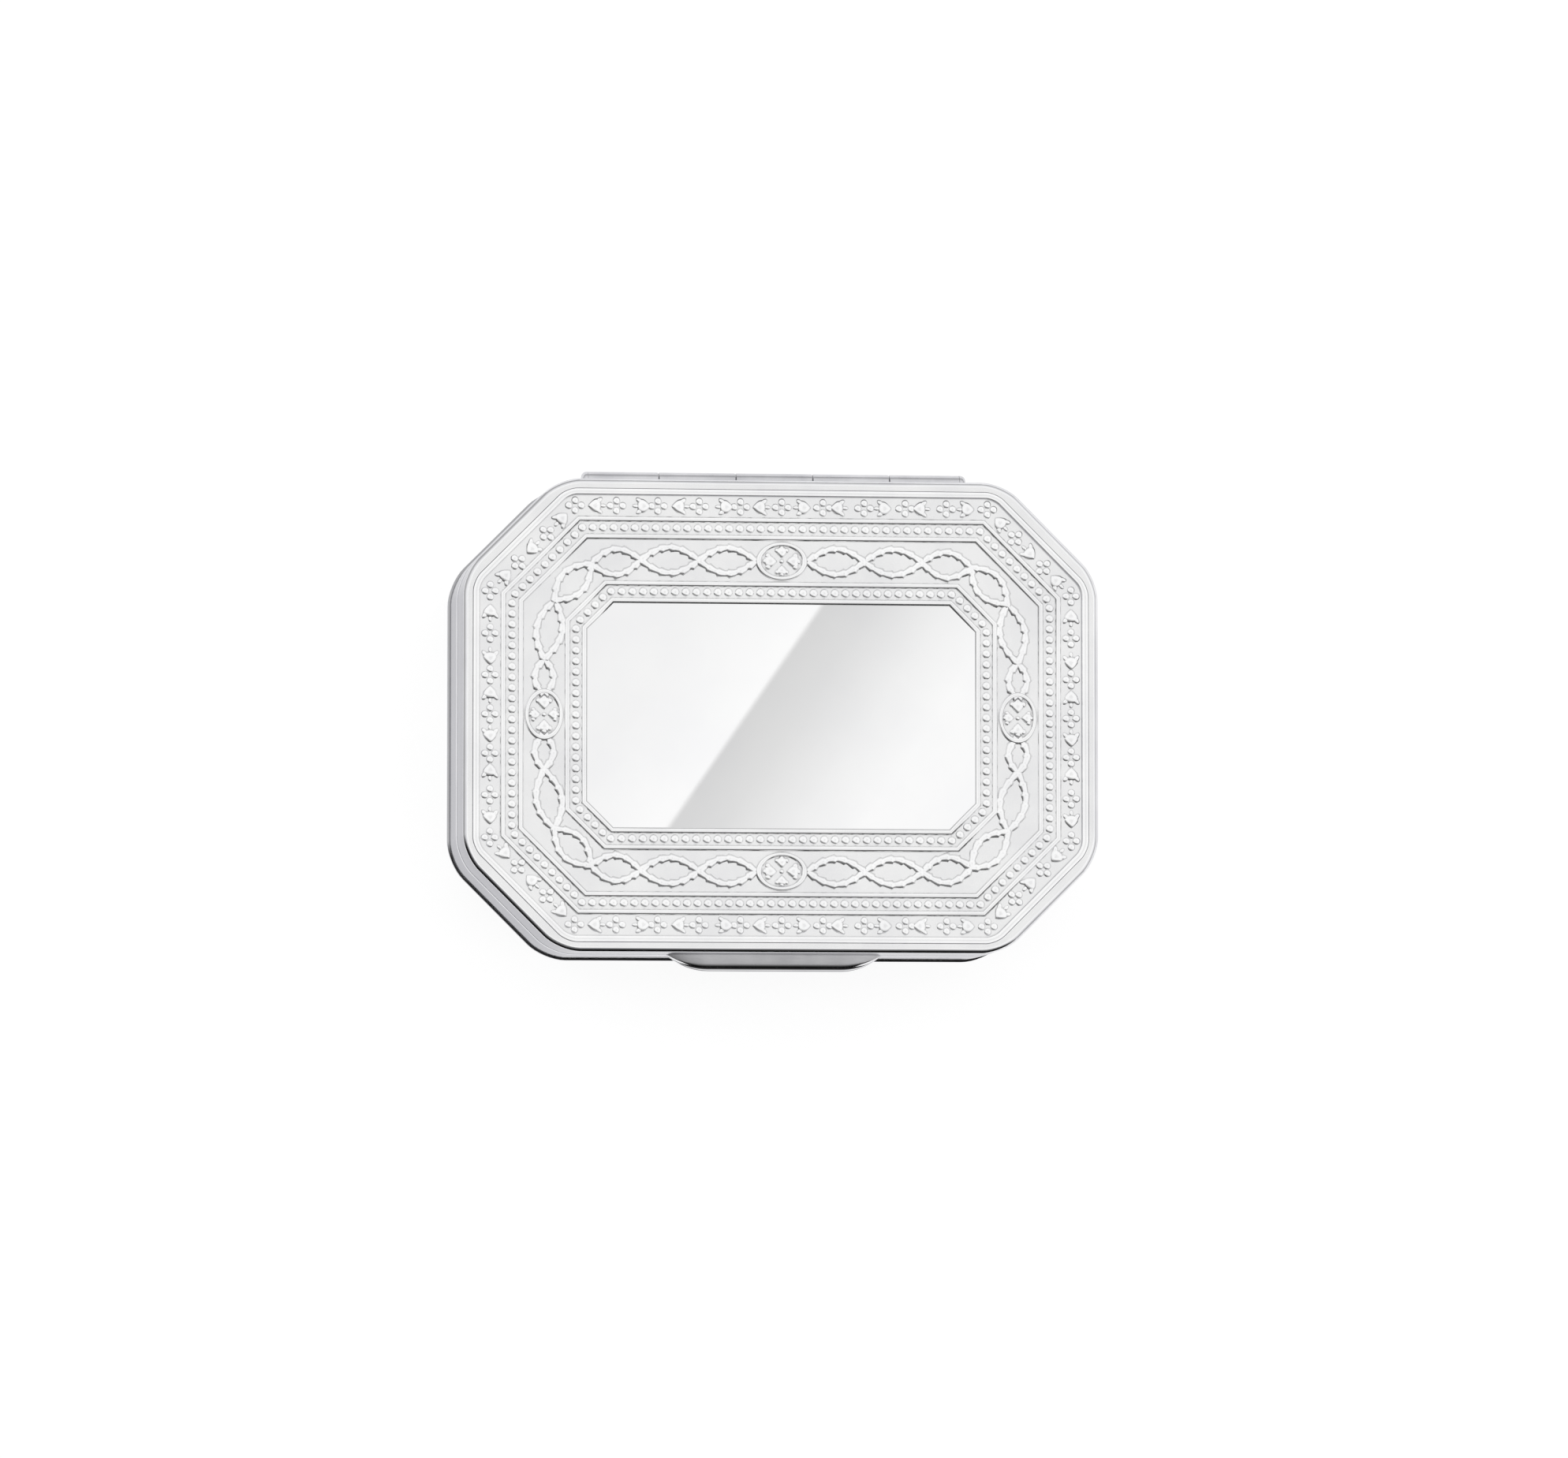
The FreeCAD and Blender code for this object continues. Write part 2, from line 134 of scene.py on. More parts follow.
@dataclass(frozen=True)
class SilverFinish:
    """A way of finishing sterling silver, with its slot in the record; lengths in millimetres."""

    name: str
    slot: Slot
    bright: str
    tone: str
    # The colour that the painted shade greys the hollows towards; it stands partly for oxide left there
    shade_tone: str
    roughness: Pair
    grain: Triple
    grain_height: float
    cloud: float
    # How far the occlusion that drives the painted shade looks, and how much of the shade colour it mixes in
    # at most
    shade_reach: float
    shade_share: float
    # What a glancing look sees of the light
    glancing: str = "#FFFFFF"
    # The noise levels between which the tone and the roughness change
    cloud_levels: Pair = (0.35, 0.7)
    grain_levels: Pair = (0.3, 0.7)
    # How open the surface is where the painted shade is full, and where it ends
    shade_open: Pair = (0.25, 0.8)
    # Detail and roughness of the two noises
    grain_noise: Pair = (3.0, 0.6)
    cloud_noise: Pair = (4.0, 0.55)

    @cache
    def material(self) -> bpy.types.Material:
        """Make the finish's material, once.

        Returns:
            A metal whose tone, roughness and grain vary over the piece, with painted shade greying its
            hollows.
        """
        made = bpy.data.materials.new(self.name)
        made.use_nodes = True
        tree = made.node_tree
        tree.nodes.clear()
        place = add_node(tree, "ShaderNodeTexCoord").outputs["Object"]
        grain = self.fine_grain(tree, place)
        low, high = self.grain_levels
        smooth, matt = self.roughness
        rough = add_node(
            tree, "ShaderNodeMapRange",
            {"Value": grain, "From Min": low, "From Max": high, "To Min": smooth, "To Max": matt},
        )
        bump = add_node(
            tree, "ShaderNodeBump", {"Height": grain, "Distance": self.grain_height * MM, "Strength": 1.0},
        )
        shader = add_node(
            tree, "ShaderNodeBsdfPrincipled",
            {"Base Color": self.tone_with_painted_shade(tree, place), "Metallic": 1.0,
             "Roughness": rough.outputs["Result"], "Specular Tint": linear(self.glancing),
             "Normal": bump.outputs["Normal"]},
        )
        add_node(tree, "ShaderNodeOutputMaterial", {"Surface": shader.outputs["BSDF"]})
        return made

    def fine_grain(self, tree: Tree, place: Socket) -> Socket:
        """Lay the fine grain over the piece.

        Args:
            tree: The material's nodes.
            place: The place on the piece.

        Returns:
            The grain's level.
        """
        scale = [1 / (size * MM) for size in self.grain]
        stretched = add_node(tree, "ShaderNodeMapping", {"Vector": place, "Scale": scale}).outputs["Vector"]
        detail, rough = self.grain_noise
        return add_node(
            tree, "ShaderNodeTexNoise",
            {"Vector": stretched, "Scale": 1.0, "Detail": detail, "Roughness": rough},
        ).outputs["Fac"]

    def tone_with_painted_shade(self, tree: Tree, place: Socket) -> Socket:
        """Cloud the silver's tone, and paint shade where the relief shelters it; the painted shade stands
        partly for oxide left in the hollows.

        Args:
            tree: The material's nodes.
            place: The place on the piece.

        Returns:
            The colour.
        """
        detail, rough = self.cloud_noise
        cloud = add_node(
            tree, "ShaderNodeTexNoise",
            {"Vector": place, "Scale": 1 / (self.cloud * MM), "Detail": detail, "Roughness": rough},
        )
        low, high = self.cloud_levels
        handled = add_node(
            tree, "ShaderNodeMapRange", {"Value": cloud.outputs["Fac"], "From Min": low, "From Max": high},
        )
        colour = add_node(
            tree, "ShaderNodeMix",
            {"Factor": handled.outputs["Result"], COLOUR_A: linear(self.bright), COLOUR_B: linear(self.tone)},
            data_type="RGBA",
        )
        # Painted shade: an ambient occlusion mask greys the tone towards the shade colour where the surface
        # is sheltered
        shelter = add_node(
            tree, "ShaderNodeAmbientOcclusion", {"Distance": self.shade_reach * MM}, samples=8,
        )
        sheltered, clear = self.shade_open
        depth = add_node(
            tree, "ShaderNodeMapRange",
            {"Value": shelter.outputs["AO"], "From Min": sheltered, "From Max": clear,
             "To Min": self.shade_share, "To Max": 0.0},
        )
        return add_node(
            tree, "ShaderNodeMix",
            {"Factor": depth.outputs["Result"], COLOUR_A: colour.outputs[COLOUR_OUT],
             COLOUR_B: linear(self.shade_tone)},
            data_type="RGBA",
        ).outputs[COLOUR_OUT]


# Buffed sterling silver: bright face on, greyer along the walls at a glancing look, with its hairlines
POLISHED = SilverFinish(
    name="buffed_sterling_silver", slot=Slot.POLISHED, bright="#EEEEF0", tone="#DFDFE2", shade_tone="#8E8C90",
    roughness=(0.06, 0.12), grain=(1.6, 1.6, 0.25), grain_height=0.0006, cloud=9.0,
    shade_reach=0.5, shade_share=0.15, glancing="#C2C2C6",
)
# Burnished sterling silver: the vacant panel, close to a mirror with a trace of wipe marks
MIRROR = SilverFinish(
    name="burnished_sterling_silver", slot=Slot.STRUCK, bright="#FCFCFC", tone="#F8F8F9", shade_tone="#B9B7BB",
    roughness=(0.004, 0.009), grain=(5.0, 2.2, 3.0), grain_height=0.00002, cloud=14.0,
    shade_reach=0.35, shade_share=0.25,
)
# Die-struck sterling silver: a soft matt sheen from the die, with painted shade greying the foot of the
# relief.
# The die's grain is about 0.05 mm and is drawn at 0.22 mm so that it shows
STRUCK = SilverFinish(
    name="struck_sterling_silver", slot=Slot.STRUCK, bright="#FCFCFC", tone="#F4F4F5", shade_tone="#6A686C",
    roughness=(0.15, 0.24), grain=(0.22, 0.22, 0.22), grain_height=0.0012, cloud=6.0,
    shade_reach=0.3, shade_share=0.5,
)
# Satin sterling silver: the plain inside, rubbed along its length to a soft brushed bloom
SATIN = SilverFinish(
    name="satin_sterling_silver", slot=Slot.SATIN, bright="#EDEDEE", tone="#DFDFE1", shade_tone="#7C7A7E",
    roughness=(0.26, 0.4), grain=(6.0, 0.3, 0.3), grain_height=0.0016, cloud=11.0,
    shade_reach=0.9, shade_share=0.5,
)
# Brushed sterling silver: the grip's top, rubbed by the thumb to an even grey
BRUSHED = SilverFinish(
    name="brushed_sterling_silver", slot=Slot.POLISHED, bright="#E4E4E6", tone="#D2D2D5", shade_tone="#77757A",
    roughness=(0.4, 0.5), grain=(2.4, 0.2, 0.2), grain_height=0.003, cloud=5.0,
    shade_reach=0.4, shade_share=0.3,
)
# Worn sterling silver tube: the hinge, dulled and greyed by handling where the buff doesn't reach
WORN = SilverFinish(
    name="worn_silver_tube", slot=Slot.POLISHED, bright="#D8D8DB", tone="#C6C6CA", shade_tone="#6E6C70",
    roughness=(0.14, 0.26), grain=(2.5, 0.25, 0.25), grain_height=0.0014, cloud=4.0,
    shade_reach=0.4, shade_share=0.4,
)
# Drawn silver wire: fine lines along its length, left by the drawplate
DRAWN = SilverFinish(
    name="drawn_silver_wire", slot=Slot.WIRE, bright="#E8E8EA", tone="#D6D6D9", shade_tone="#6E6C70",
    roughness=(0.16, 0.28), grain=(4.0, 0.12, 0.12), grain_height=0.0012, cloud=3.0,
    shade_reach=0.3, shade_share=0.5,
)


def dress_node(name: str, finish: SilverFinish) -> None:
    """Give a CAD node, whose shape stays, a finish.

    Args:
        name: The node's name.
        finish: Its finish.
    """
    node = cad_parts[name]
    node.data.materials.clear()
    node.data.materials.append(finish.material())
    LOG.info("%s: CAD node in %s", name, finish.name)


class Bench:
    """A mesh in the making, in millimetres."""

    def __init__(self, name: str) -> None:
        """Start an empty mesh that takes a name."""
        self.name = name
        self.bm = bmesh.new()

    def spin(
        self, profile: Sequence[Pair], axis: Sequence[float], steps: int, closed: bool = False,
    ) -> None:
        """Spin a profile, drawn in X and Z, a full turn about an axis.

        Args:
            profile: The profile's points.
            axis: The axis, through the origin.
            steps: The steps of the turn.
            closed: Whether the profile's end joins its start.
        """
        verts = [self.bm.verts.new((x, 0, z)) for x, z in profile]
        ends = verts[1:] + (verts[:1] if closed else [])
        edges = [self.bm.edges.new(pair) for pair in zip(verts, ends)]
        bmesh.ops.spin(
            self.bm, geom=verts + edges, cent=(0, 0, 0), axis=axis, angle=2 * math.pi, steps=steps,
            use_merge=True,
        )

    def stamp(self, pattern: "Bench", places: Iterable[Matrix]) -> None:
        """Add copies of a pattern.

        Args:
            pattern: The mesh to copy, which stays as it is.
            places: Where each copy goes.
        """
        mesh = bpy.data.meshes.new(pattern.name)
        pattern.bm.to_mesh(mesh)
        for place in places:
            copy = mesh.copy()
            copy.transform(place)
            self.bm.from_mesh(copy)
            bpy.data.meshes.remove(copy)
        bpy.data.meshes.remove(mesh)

    def move(self, place: Matrix) -> None:
        """Move the whole mesh to a place."""
        bmesh.ops.transform(self.bm, matrix=place, verts=self.bm.verts)

    def loft(self, loops: Sequence[Loop], closed: bool = False) -> None:
        """Bridge each loop to the next.

        Args:
            loops: Closed edge loops in order.
            closed: Whether the last loop joins the first.
        """
        pairs = list(zip(loops, loops[1:]))
        if closed:
            pairs.append((loops[-1], loops[0]))
        for near, far in pairs:
            # Two loops in one plane bridge true only while one of them is raised
            raised = list({vert for edge in far for vert in edge.verts})
            bmesh.ops.translate(self.bm, vec=(0, 0, 1), verts=raised)
            bmesh.ops.bridge_loops(self.bm, edges=near + far)
            bmesh.ops.translate(self.bm, vec=(0, 0, -1), verts=raised)

    def cap(self, loop: Loop) -> bmesh.types.BMFace:
        """Close a loop of edges with one face."""
        return bmesh.ops.contextual_create(self.bm, geom=loop)["faces"][0]

    def draw_in(self, face: bmesh.types.BMFace, width: float, rise: float = 0.0) -> None:
        """Draw a face in from its outline, leaving a mitred border.

        Args:
            face: The face, which stays the inner one.
            width: The border's width.
            rise: How far the face rises.
        """
        bmesh.ops.inset_region(
            self.bm, faces=[face], thickness=width, depth=rise, use_even_offset=True, use_boundary=True,
        )

    def tidy(self) -> None:
        """Merge doubles and turn every face outwards."""
        bmesh.ops.remove_doubles(self.bm, verts=self.bm.verts, dist=MERGE)
        bmesh.ops.recalc_face_normals(self.bm, faces=self.bm.faces)

    def cut(self, cutter: "Bench") -> None:
        """Take a closed form away from this one.

        Args:
            cutter: The form to take away, which is used up.
        """
        self.tidy()
        cutter.tidy()
        stock, tool = [bench.rough_object() for bench in (self, cutter)]
        trim = stock.modifiers.new("trim", "BOOLEAN")
        trim.operation = "DIFFERENCE"
        trim.solver = "EXACT"
        trim.object = tool
        ready = stock.evaluated_get(bpy.context.evaluated_depsgraph_get())
        mesh = bpy.data.meshes.new_from_object(ready)
        self.bm.clear()
        self.bm.from_mesh(mesh)
        cutter.bm.free()
        for spare in (stock, tool):
            bpy.data.meshes.remove(spare.data)
        bpy.data.meshes.remove(mesh)

    def rough_object(self) -> bpy.types.Object:
        """Give the mesh an object of its own.

        Returns:
            The object, linked to the scene.
        """
        mesh = bpy.data.meshes.new(self.name)
        self.bm.to_mesh(mesh)
        rough = bpy.data.objects.new(self.name, mesh)
        bpy.context.scene.collection.objects.link(rough)
        return rough

    def finish(
        self, body: Body, finishes: Sequence[SilverFinish], stands_for: Sequence[str] = (),
        crease: float = PLAIN_CREASE, level_flats: bool = True,
    ) -> None:
        """Set the piece in the frame, on its body and in its finishes.

        Args:
            body: The body that it rides on.
            finishes: The finishes, by the faces' material numbers.
            stands_for: The nodes that the piece replaces.
            crease: The angle in degrees past which an edge stays sharp.
            level_flats: Whether wide flats keep their own shading beside small roundings.
        """
        self.tidy()
        bmesh.ops.scale(self.bm, vec=(MM, MM, MM), verts=self.bm.verts)
        piece = self.rough_object()
        self.bm.free()
        for finish in finishes:
            piece.data.materials.append(finish.material())
        piece.data.shade_smooth()
        piece.data.set_sharp_from_angle(angle=math.radians(crease))
        if level_flats:
            even = piece.modifiers.new("level_flats", "WEIGHTED_NORMAL")
            even.keep_sharp = True
        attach(piece, body.value)
        if stands_for:
            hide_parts(*stands_for)
        LOG.info("%s: %d faces on %s", piece.name, len(piece.data.polygons), body.value)

    def finish_relief(self) -> None:
        """Set the mesh in the frame as relief struck on the lid."""
        self.finish(Body.LID, [STRUCK], crease=RELIEF_CREASE, level_flats=False)


@dataclass(frozen=True)
class CutCorner:
    """A rectangle with its corners cut at 45 degrees and, if wanted, rounded; in millimetres."""

    half_length: float
    half_depth: float
    cut: float
    rounding: float = 0.0
    least_rounding: float = 0.05
    steps: int = 8

    def inset(self, distance: float) -> "CutCorner":
        """Draw the form inwards, or outwards by a negative distance.

        Args:
            distance: How far.

        Returns:
            The new outline.
        """
        return CutCorner(
            self.half_length - distance, self.half_depth - distance,
            self.cut - distance * (2 - math.sqrt(2)),
            max(self.rounding - distance, self.least_rounding) if self.rounding else 0.0,
            self.least_rounding, self.steps,
        )

    def corners(self) -> list[Vector]:
        """List the eight corners, anticlockwise from the right end of the front.

        Returns:
            The corners, flat.
        """
        x, y, cut = self.half_length, self.half_depth, self.cut
        quarter = [Vector((x - cut, -y, 0)), Vector((x, -y + cut, 0))]
        right = quarter + [Vector((p.x, -p.y, 0)) for p in reversed(quarter)]
        return right + [Vector((-p.x, p.y, 0)) for p in reversed(right)]

    def face(self, bench: Bench, z: float) -> bmesh.types.BMFace:
        """Draw the outline as one face.

        Args:
            bench: The mesh that takes it.
            z: Its height.

        Returns:
            The face.
        """
        verts = [bench.bm.verts.new((corner.x, corner.y, z)) for corner in self.corners()]
        flat = bench.bm.faces.new(verts)
        if not self.rounding:
            return flat
        others = set(bench.bm.faces) - {flat}
        # The rounding of a 45 degree corner takes this much of each side
        taken = self.rounding * math.tan(math.pi / 8)
        bmesh.ops.bevel(
            bench.bm, geom=verts, offset=taken, offset_type="OFFSET", affect="VERTICES", segments=self.steps,
            profile=0.5, material=-1,
        )
        return max((f for f in bench.bm.faces if f not in others), key=lambda f: f.calc_area())

    def loop(self, bench: Bench, z: float) -> Loop:
        """Draw the outline as a closed loop of edges.

        Args:
            bench: The mesh that takes it.
            z: Its height.

        Returns:
            The edges.
        """
        flat = self.face(bench, z)
        edges = list(flat.edges)
        bmesh.ops.delete(bench.bm, geom=[flat], context="FACES_ONLY")
        return edges

    def length(self) -> float:
        """Measure the sharp outline's length."""
        corners = self.corners()
        return sum((b - a).length for a, b in zip(corners, corners[1:] + corners[:1]))

    def walk(self, distance: float) -> tuple[Vector, Vector]:
        """Walk along the sharp outline, anticlockwise from the front's middle.

        Args:
            distance: How far to walk.

        Returns:
            The place and the way ahead.
        """
        start = Vector((0, -self.half_depth, 0))
        here, left = start, distance % self.length()
        for corner in self.corners() + [start]:
            run = corner - here
            if left <= run.length:
                break
            left -= run.length
            here = corner
        ahead = run.normalized()
        return here + ahead * left, ahead


# The box's side, which base and lid share
BOX_OUTLINE = CutCorner(half_length=40.0, half_depth=29.6, cut=12.0, rounding=6.5)
# The sharp outline that the struck bands run inside, their ground's height and how far in the frames run
PLATE_OUTLINE = CutCorner(half_length=40.0, half_depth=29.6, cut=12.4)
GROUND = 19.65
FRAME_INSETS = (5.03, 7.24, 13.08, 15.2)


def between_frames(first: int) -> float:
    """Find how far in the middle of the band runs that lies inside a frame, by the frame's number."""
    return (FRAME_INSETS[first] + FRAME_INSETS[first + 1]) / 2


def turned(angle: float) -> Matrix:
    """Make a turn about the Z axis, in radians."""
    return Matrix.Rotation(angle, 4, "Z")


def turned_to(place: Vector, ahead: Vector, z: float) -> Matrix:
    """Make a place with its X axis along a direction.

    Args:
        place: The point, flat.
        ahead: The direction, flat.
        z: The height.

    Returns:
        The matrix.
    """
    return Matrix.Translation((place.x, place.y, z)) @ turned(math.atan2(ahead.y, ahead.x))


def arc_steps(radius: float, steps: int = 4) -> list[Pair]:
    """Step round a quarter circle from a wall to a flat.

    Args:
        radius: Its radius.
        steps: How many steps.

    Returns:
        How far each step is drawn in and up.
    """
    turns = [math.pi / 2 * step / steps for step in range(steps + 1)]
    return [(radius * (1 - math.cos(turn)), radius * math.sin(turn)) for turn in turns]


# The side of a struck boss, from its top to its foot: shares of its radius and of its rise
BOSS_SHARES = ((0.0, 1.0), (0.45, 0.9), (0.75, 0.7), (0.92, 0.42), (1.0, 0.0))


def dome(name: str, radii: Triple, around: int = 12) -> Bench:
    """Make a low boss with a full top and a quick turn to its foot.

    Args:
        name: The mesh's name.
        radii: Half its length, half its width and its rise.
        around: Its sides.

    Returns:
        The boss, centred on its foot, which lies a hair below.
    """
    bench = Bench(name)
    bench.spin(BOSS_SHARES, Z_AXIS, around)
    bmesh.ops.remove_doubles(bench.bm, verts=bench.bm.verts, dist=MERGE)
    bmesh.ops.holes_fill(bench.bm, edges=bench.bm.edges, sides=0)
    bmesh.ops.scale(bench.bm, vec=radii, verts=bench.bm.verts)
    bmesh.ops.translate(bench.bm, vec=(0, 0, -SUNK), verts=bench.bm.verts)
    return bench


def teardrop(name: str, radii: Triple, around: int = 16) -> Bench:
    """Make a low boss that runs to a point along X.

    Args:
        name: The mesh's name.
        radii: Half its length, half its width and its rise.
        around: Its sides.

    Returns:
        The form, centred on its foot.
    """
    bench = dome(name, (1.0, 1.0, 1.0), around)
    for vert in bench.bm.verts:
        vert.co.y *= math.sqrt(max(1.0 - vert.co.x, 0.0))
    bmesh.ops.scale(bench.bm, vec=radii, verts=bench.bm.verts)
    return bench


@dataclass
class Hinge:
    """Five knuckles on one pin, with a cap at each end; in millimetres."""

    names: tuple[str, ...] = (
        "base_knuckle_left", "lid_knuckle_left", "base_knuckle_centre", "lid_knuckle_right",
        "base_knuckle_right",
    )
    half_length: float = 24.4
    radius: float = 1.195
    bore: float = 0.54
    gap: float = 0.1
    edge: float = 0.07
    # The middle point of a tube's rounded edge, as a share of the edge from its corner
    edge_share: float = 0.3
    # Room round the other body's knuckles, and how deep a wall's own ones sink into it
    clearance: float = 0.1
    seat_depth: float = 0.01
    cap_length: float = 0.8
    cap_round: float = 0.62
    cap_steps: int = 5
    stem_length: float = 1.0
    stem_play: float = 0.02
    axis_y: float = 30.05
    axis_z: float = 11.05
    steps: int = 40

    def place(self) -> Matrix:
        """Find the hinge axis."""
        return Matrix.Translation((0, self.axis_y, self.axis_z))

    def span(self, index: int) -> Pair:
        """Find where a knuckle lies.

        Args:
            index: The knuckle's number from the left.

        Returns:
            Its two ends along the hinge.
        """
        count = len(self.names)
        pitch = 2 * self.half_length / count
        start = -self.half_length + index * pitch + self.gap / 2
        end = start + pitch - self.gap
        if index == 0:
            start = -self.half_length + self.cap_length
        if index == count - 1:
            end = self.half_length - self.cap_length
        return start, end

    def owner(self, index: int) -> Body:
        """Find the body of a knuckle: the base has every other one, from the ends."""
        return Body.LID if index % 2 else Body.BASE

    def trough(self, body: Body) -> Bench:
        """Make the space that the hinge takes from a wall.

        Args:
            body: The body whose wall it is.

        Returns:
            A stepped roller: tight at the body's own knuckles, loose at the others.
        """
        bench = Bench("hinge_trough")
        loose = self.radius + self.clearance
        tight = self.radius - self.seat_depth
        reach = self.half_length + self.clearance
        profile = [(-reach, 0.0), (-reach, loose)]
        for index in range(len(self.names)):
            if self.owner(index) is body:
                start, end = self.span(index)
                profile += [(start, loose), (start, tight), (end, tight), (end, loose)]
        profile += [(reach, loose), (reach, 0.0)]
        bench.spin(profile, X_AXIS, self.steps)
        bench.move(self.place())
        return bench

    def build(self) -> None:
        """Make the knuckles and caps, and dress the pin."""
        for index, name in enumerate(self.names):
            self.build_knuckle(index, name)
        for side, name in ((-1, "hinge_plug_left"), (1, "hinge_plug_right")):
            self.build_cap(side, name)
        dress_node("hinge_pin", DRAWN)

    def build_knuckle(self, index: int, name: str) -> None:
        """Make one length of tube with soft edges.

        Args:
            index: The knuckle's number from the left.
            name: The node that it stands for.
        """
        tube = Bench(name + "_tube")
        start, end = self.span(index)
        soft = self.edge_share * self.edge
        side = [
            (0.0, self.bore), (0.0, self.radius - self.edge), (soft, self.radius - soft),
            (self.edge, self.radius),
        ]
        profile = [(start + x, radius) for x, radius in side]
        profile += [(end - x, radius) for x, radius in reversed(side)]
        tube.spin(profile, X_AXIS, self.steps, closed=True)
        tube.move(self.place())
        tube.finish(self.owner(index), [WORN], [name])

    def build_cap(self, side: int, name: str) -> None:
        """Make one domed cap with the stem that holds it.

        Args:
            side: Minus one for the left, one for the right.
            name: The node that it stands for.
        """
        cap = Bench(name + "_cap")
        seat = self.half_length - self.cap_length
        stem = self.bore - self.stem_play
        stem_end = seat - self.stem_length
        profile = [(stem_end, 0.0), (stem_end, stem), (seat, stem), (seat, self.radius)]
        for step in range(self.cap_steps):
            turn = math.radians(90 * step / self.cap_steps)
            profile.append((
                self.half_length - self.cap_round + self.cap_round * math.sin(turn),
                self.radius - self.cap_round + self.cap_round * math.cos(turn),
            ))
        profile.append((self.half_length, 0.0))
        cap.spin([(side * x, radius) for x, radius in profile], X_AXIS, self.steps)
        cap.move(self.place())
        cap.finish(Body.BASE, [WORN], [name])


@dataclass
class Base:
    """The lower box: foot, wall, inner collar and joint strip; in millimetres."""

    outline: CutCorner = BOX_OUTLINE
    height: float = 11.0
    plate: float = 1.0
    foot_proud: float = 0.32
    foot_edge: float = 0.25
    # The foot's upper side as far as its slope's start: how far back, and how far below the plate's top
    foot_section: Points = ((0.0, 0.24), (0.02, 0.175))
    wall_proud: float = 0.1
    shoulder: float = 0.45
    shoulder_steps: int = 5
    collar_inset: float = 0.77
    collar_wall: float = 0.5
    collar_rise: float = 2.2
    collar_edge: float = 0.18
    collar_steps: int = 3
    # The collar's notch at the hinge: half its length, the face that it leaves and how far down it goes,
    # then the size of its cutter
    notch_half: float = 25.32
    notch_face: float = 27.73
    notch_drop: float = 2.4
    notch_width: float = 6.0
    notch_height: float = 8.0

    def build(self, hinge: Hinge) -> None:
        """Make the base's pieces and dress its joint strip.

        Args:
            hinge: The hinge that the wall makes room for.
        """
        self.build_foot()
        self.build_wall(hinge)
        self.build_collar()
        dress_node("base_joint_bearer", SATIN)

    def build_foot(self) -> None:
        """Make the bottom sheet, satin on its two flats, with its rounded foot."""
        bench = Bench("base_foot_plate")
        finishes = [POLISHED, SATIN]
        lower = [(back, self.foot_edge - up) for back, up in reversed(arc_steps(self.foot_edge))]
        slope_end = (self.foot_proud - self.wall_proud, 0.0)
        upper = [(back, self.plate - drop) for back, drop in (*self.foot_section, slope_end)]
        loops = [self.outline.inset(back - self.foot_proud).loop(bench, z) for back, z in lower + upper]
        bench.loft(loops)
        for loop in (loops[0], loops[-1]):
            bench.cap(loop).material_index = finishes.index(SATIN)
        bench.finish(Body.BASE, finishes, ["base_plate"], crease=FOOT_CREASE)

    def build_wall(self, hinge: Hinge) -> None:
        """Make the side band with its soft shoulder.

        Args:
            hinge: The hinge that it makes room for.
        """
        bench = Bench("base_wall_band")
        outer, inner = self.outline.inset(-self.wall_proud), self.outline.inset(self.collar_inset)
        loops = [outer.loop(bench, self.plate)]
        for back, up in arc_steps(self.shoulder, self.shoulder_steps):
            loops.append(outer.inset(back).loop(bench, self.height - self.shoulder + up))
        loops += [inner.loop(bench, self.height), inner.loop(bench, self.plate)]
        bench.loft(loops, closed=True)
        bench.cut(hinge.trough(Body.BASE))
        bench.finish(Body.BASE, [POLISHED], ["base_wall"])

    def build_collar(self) -> None:
        """Make the inner collar, cut away at the hinge."""
        bench = Bench("base_bezel_collar")
        outer = self.outline.inset(self.collar_inset)
        inner = outer.inset(self.collar_wall)
        top, edge = self.height + self.collar_rise, self.collar_edge
        rounding = arc_steps(edge, self.collar_steps)
        loops = [outer.loop(bench, self.plate)]
        loops += [outer.inset(back).loop(bench, top - edge + up) for back, up in rounding]
        loops += [inner.inset(-back).loop(bench, top - edge + up) for back, up in reversed(rounding)]
        loops.append(inner.loop(bench, self.plate))
        bench.loft(loops, closed=True)
        notch = Bench("collar_notch")
        size = (2 * self.notch_half, self.notch_width, self.notch_height)
        bmesh.ops.create_cube(notch.bm, size=1.0)
        bmesh.ops.scale(notch.bm, vec=size, verts=notch.bm.verts)
        notch.move(Matrix.Translation((
            0, self.notch_face + self.notch_width / 2, self.height - self.notch_drop + self.notch_height / 2,
        )))
        bench.cut(notch)
        bench.finish(Body.BASE, [SATIN], ["base_bezel"])


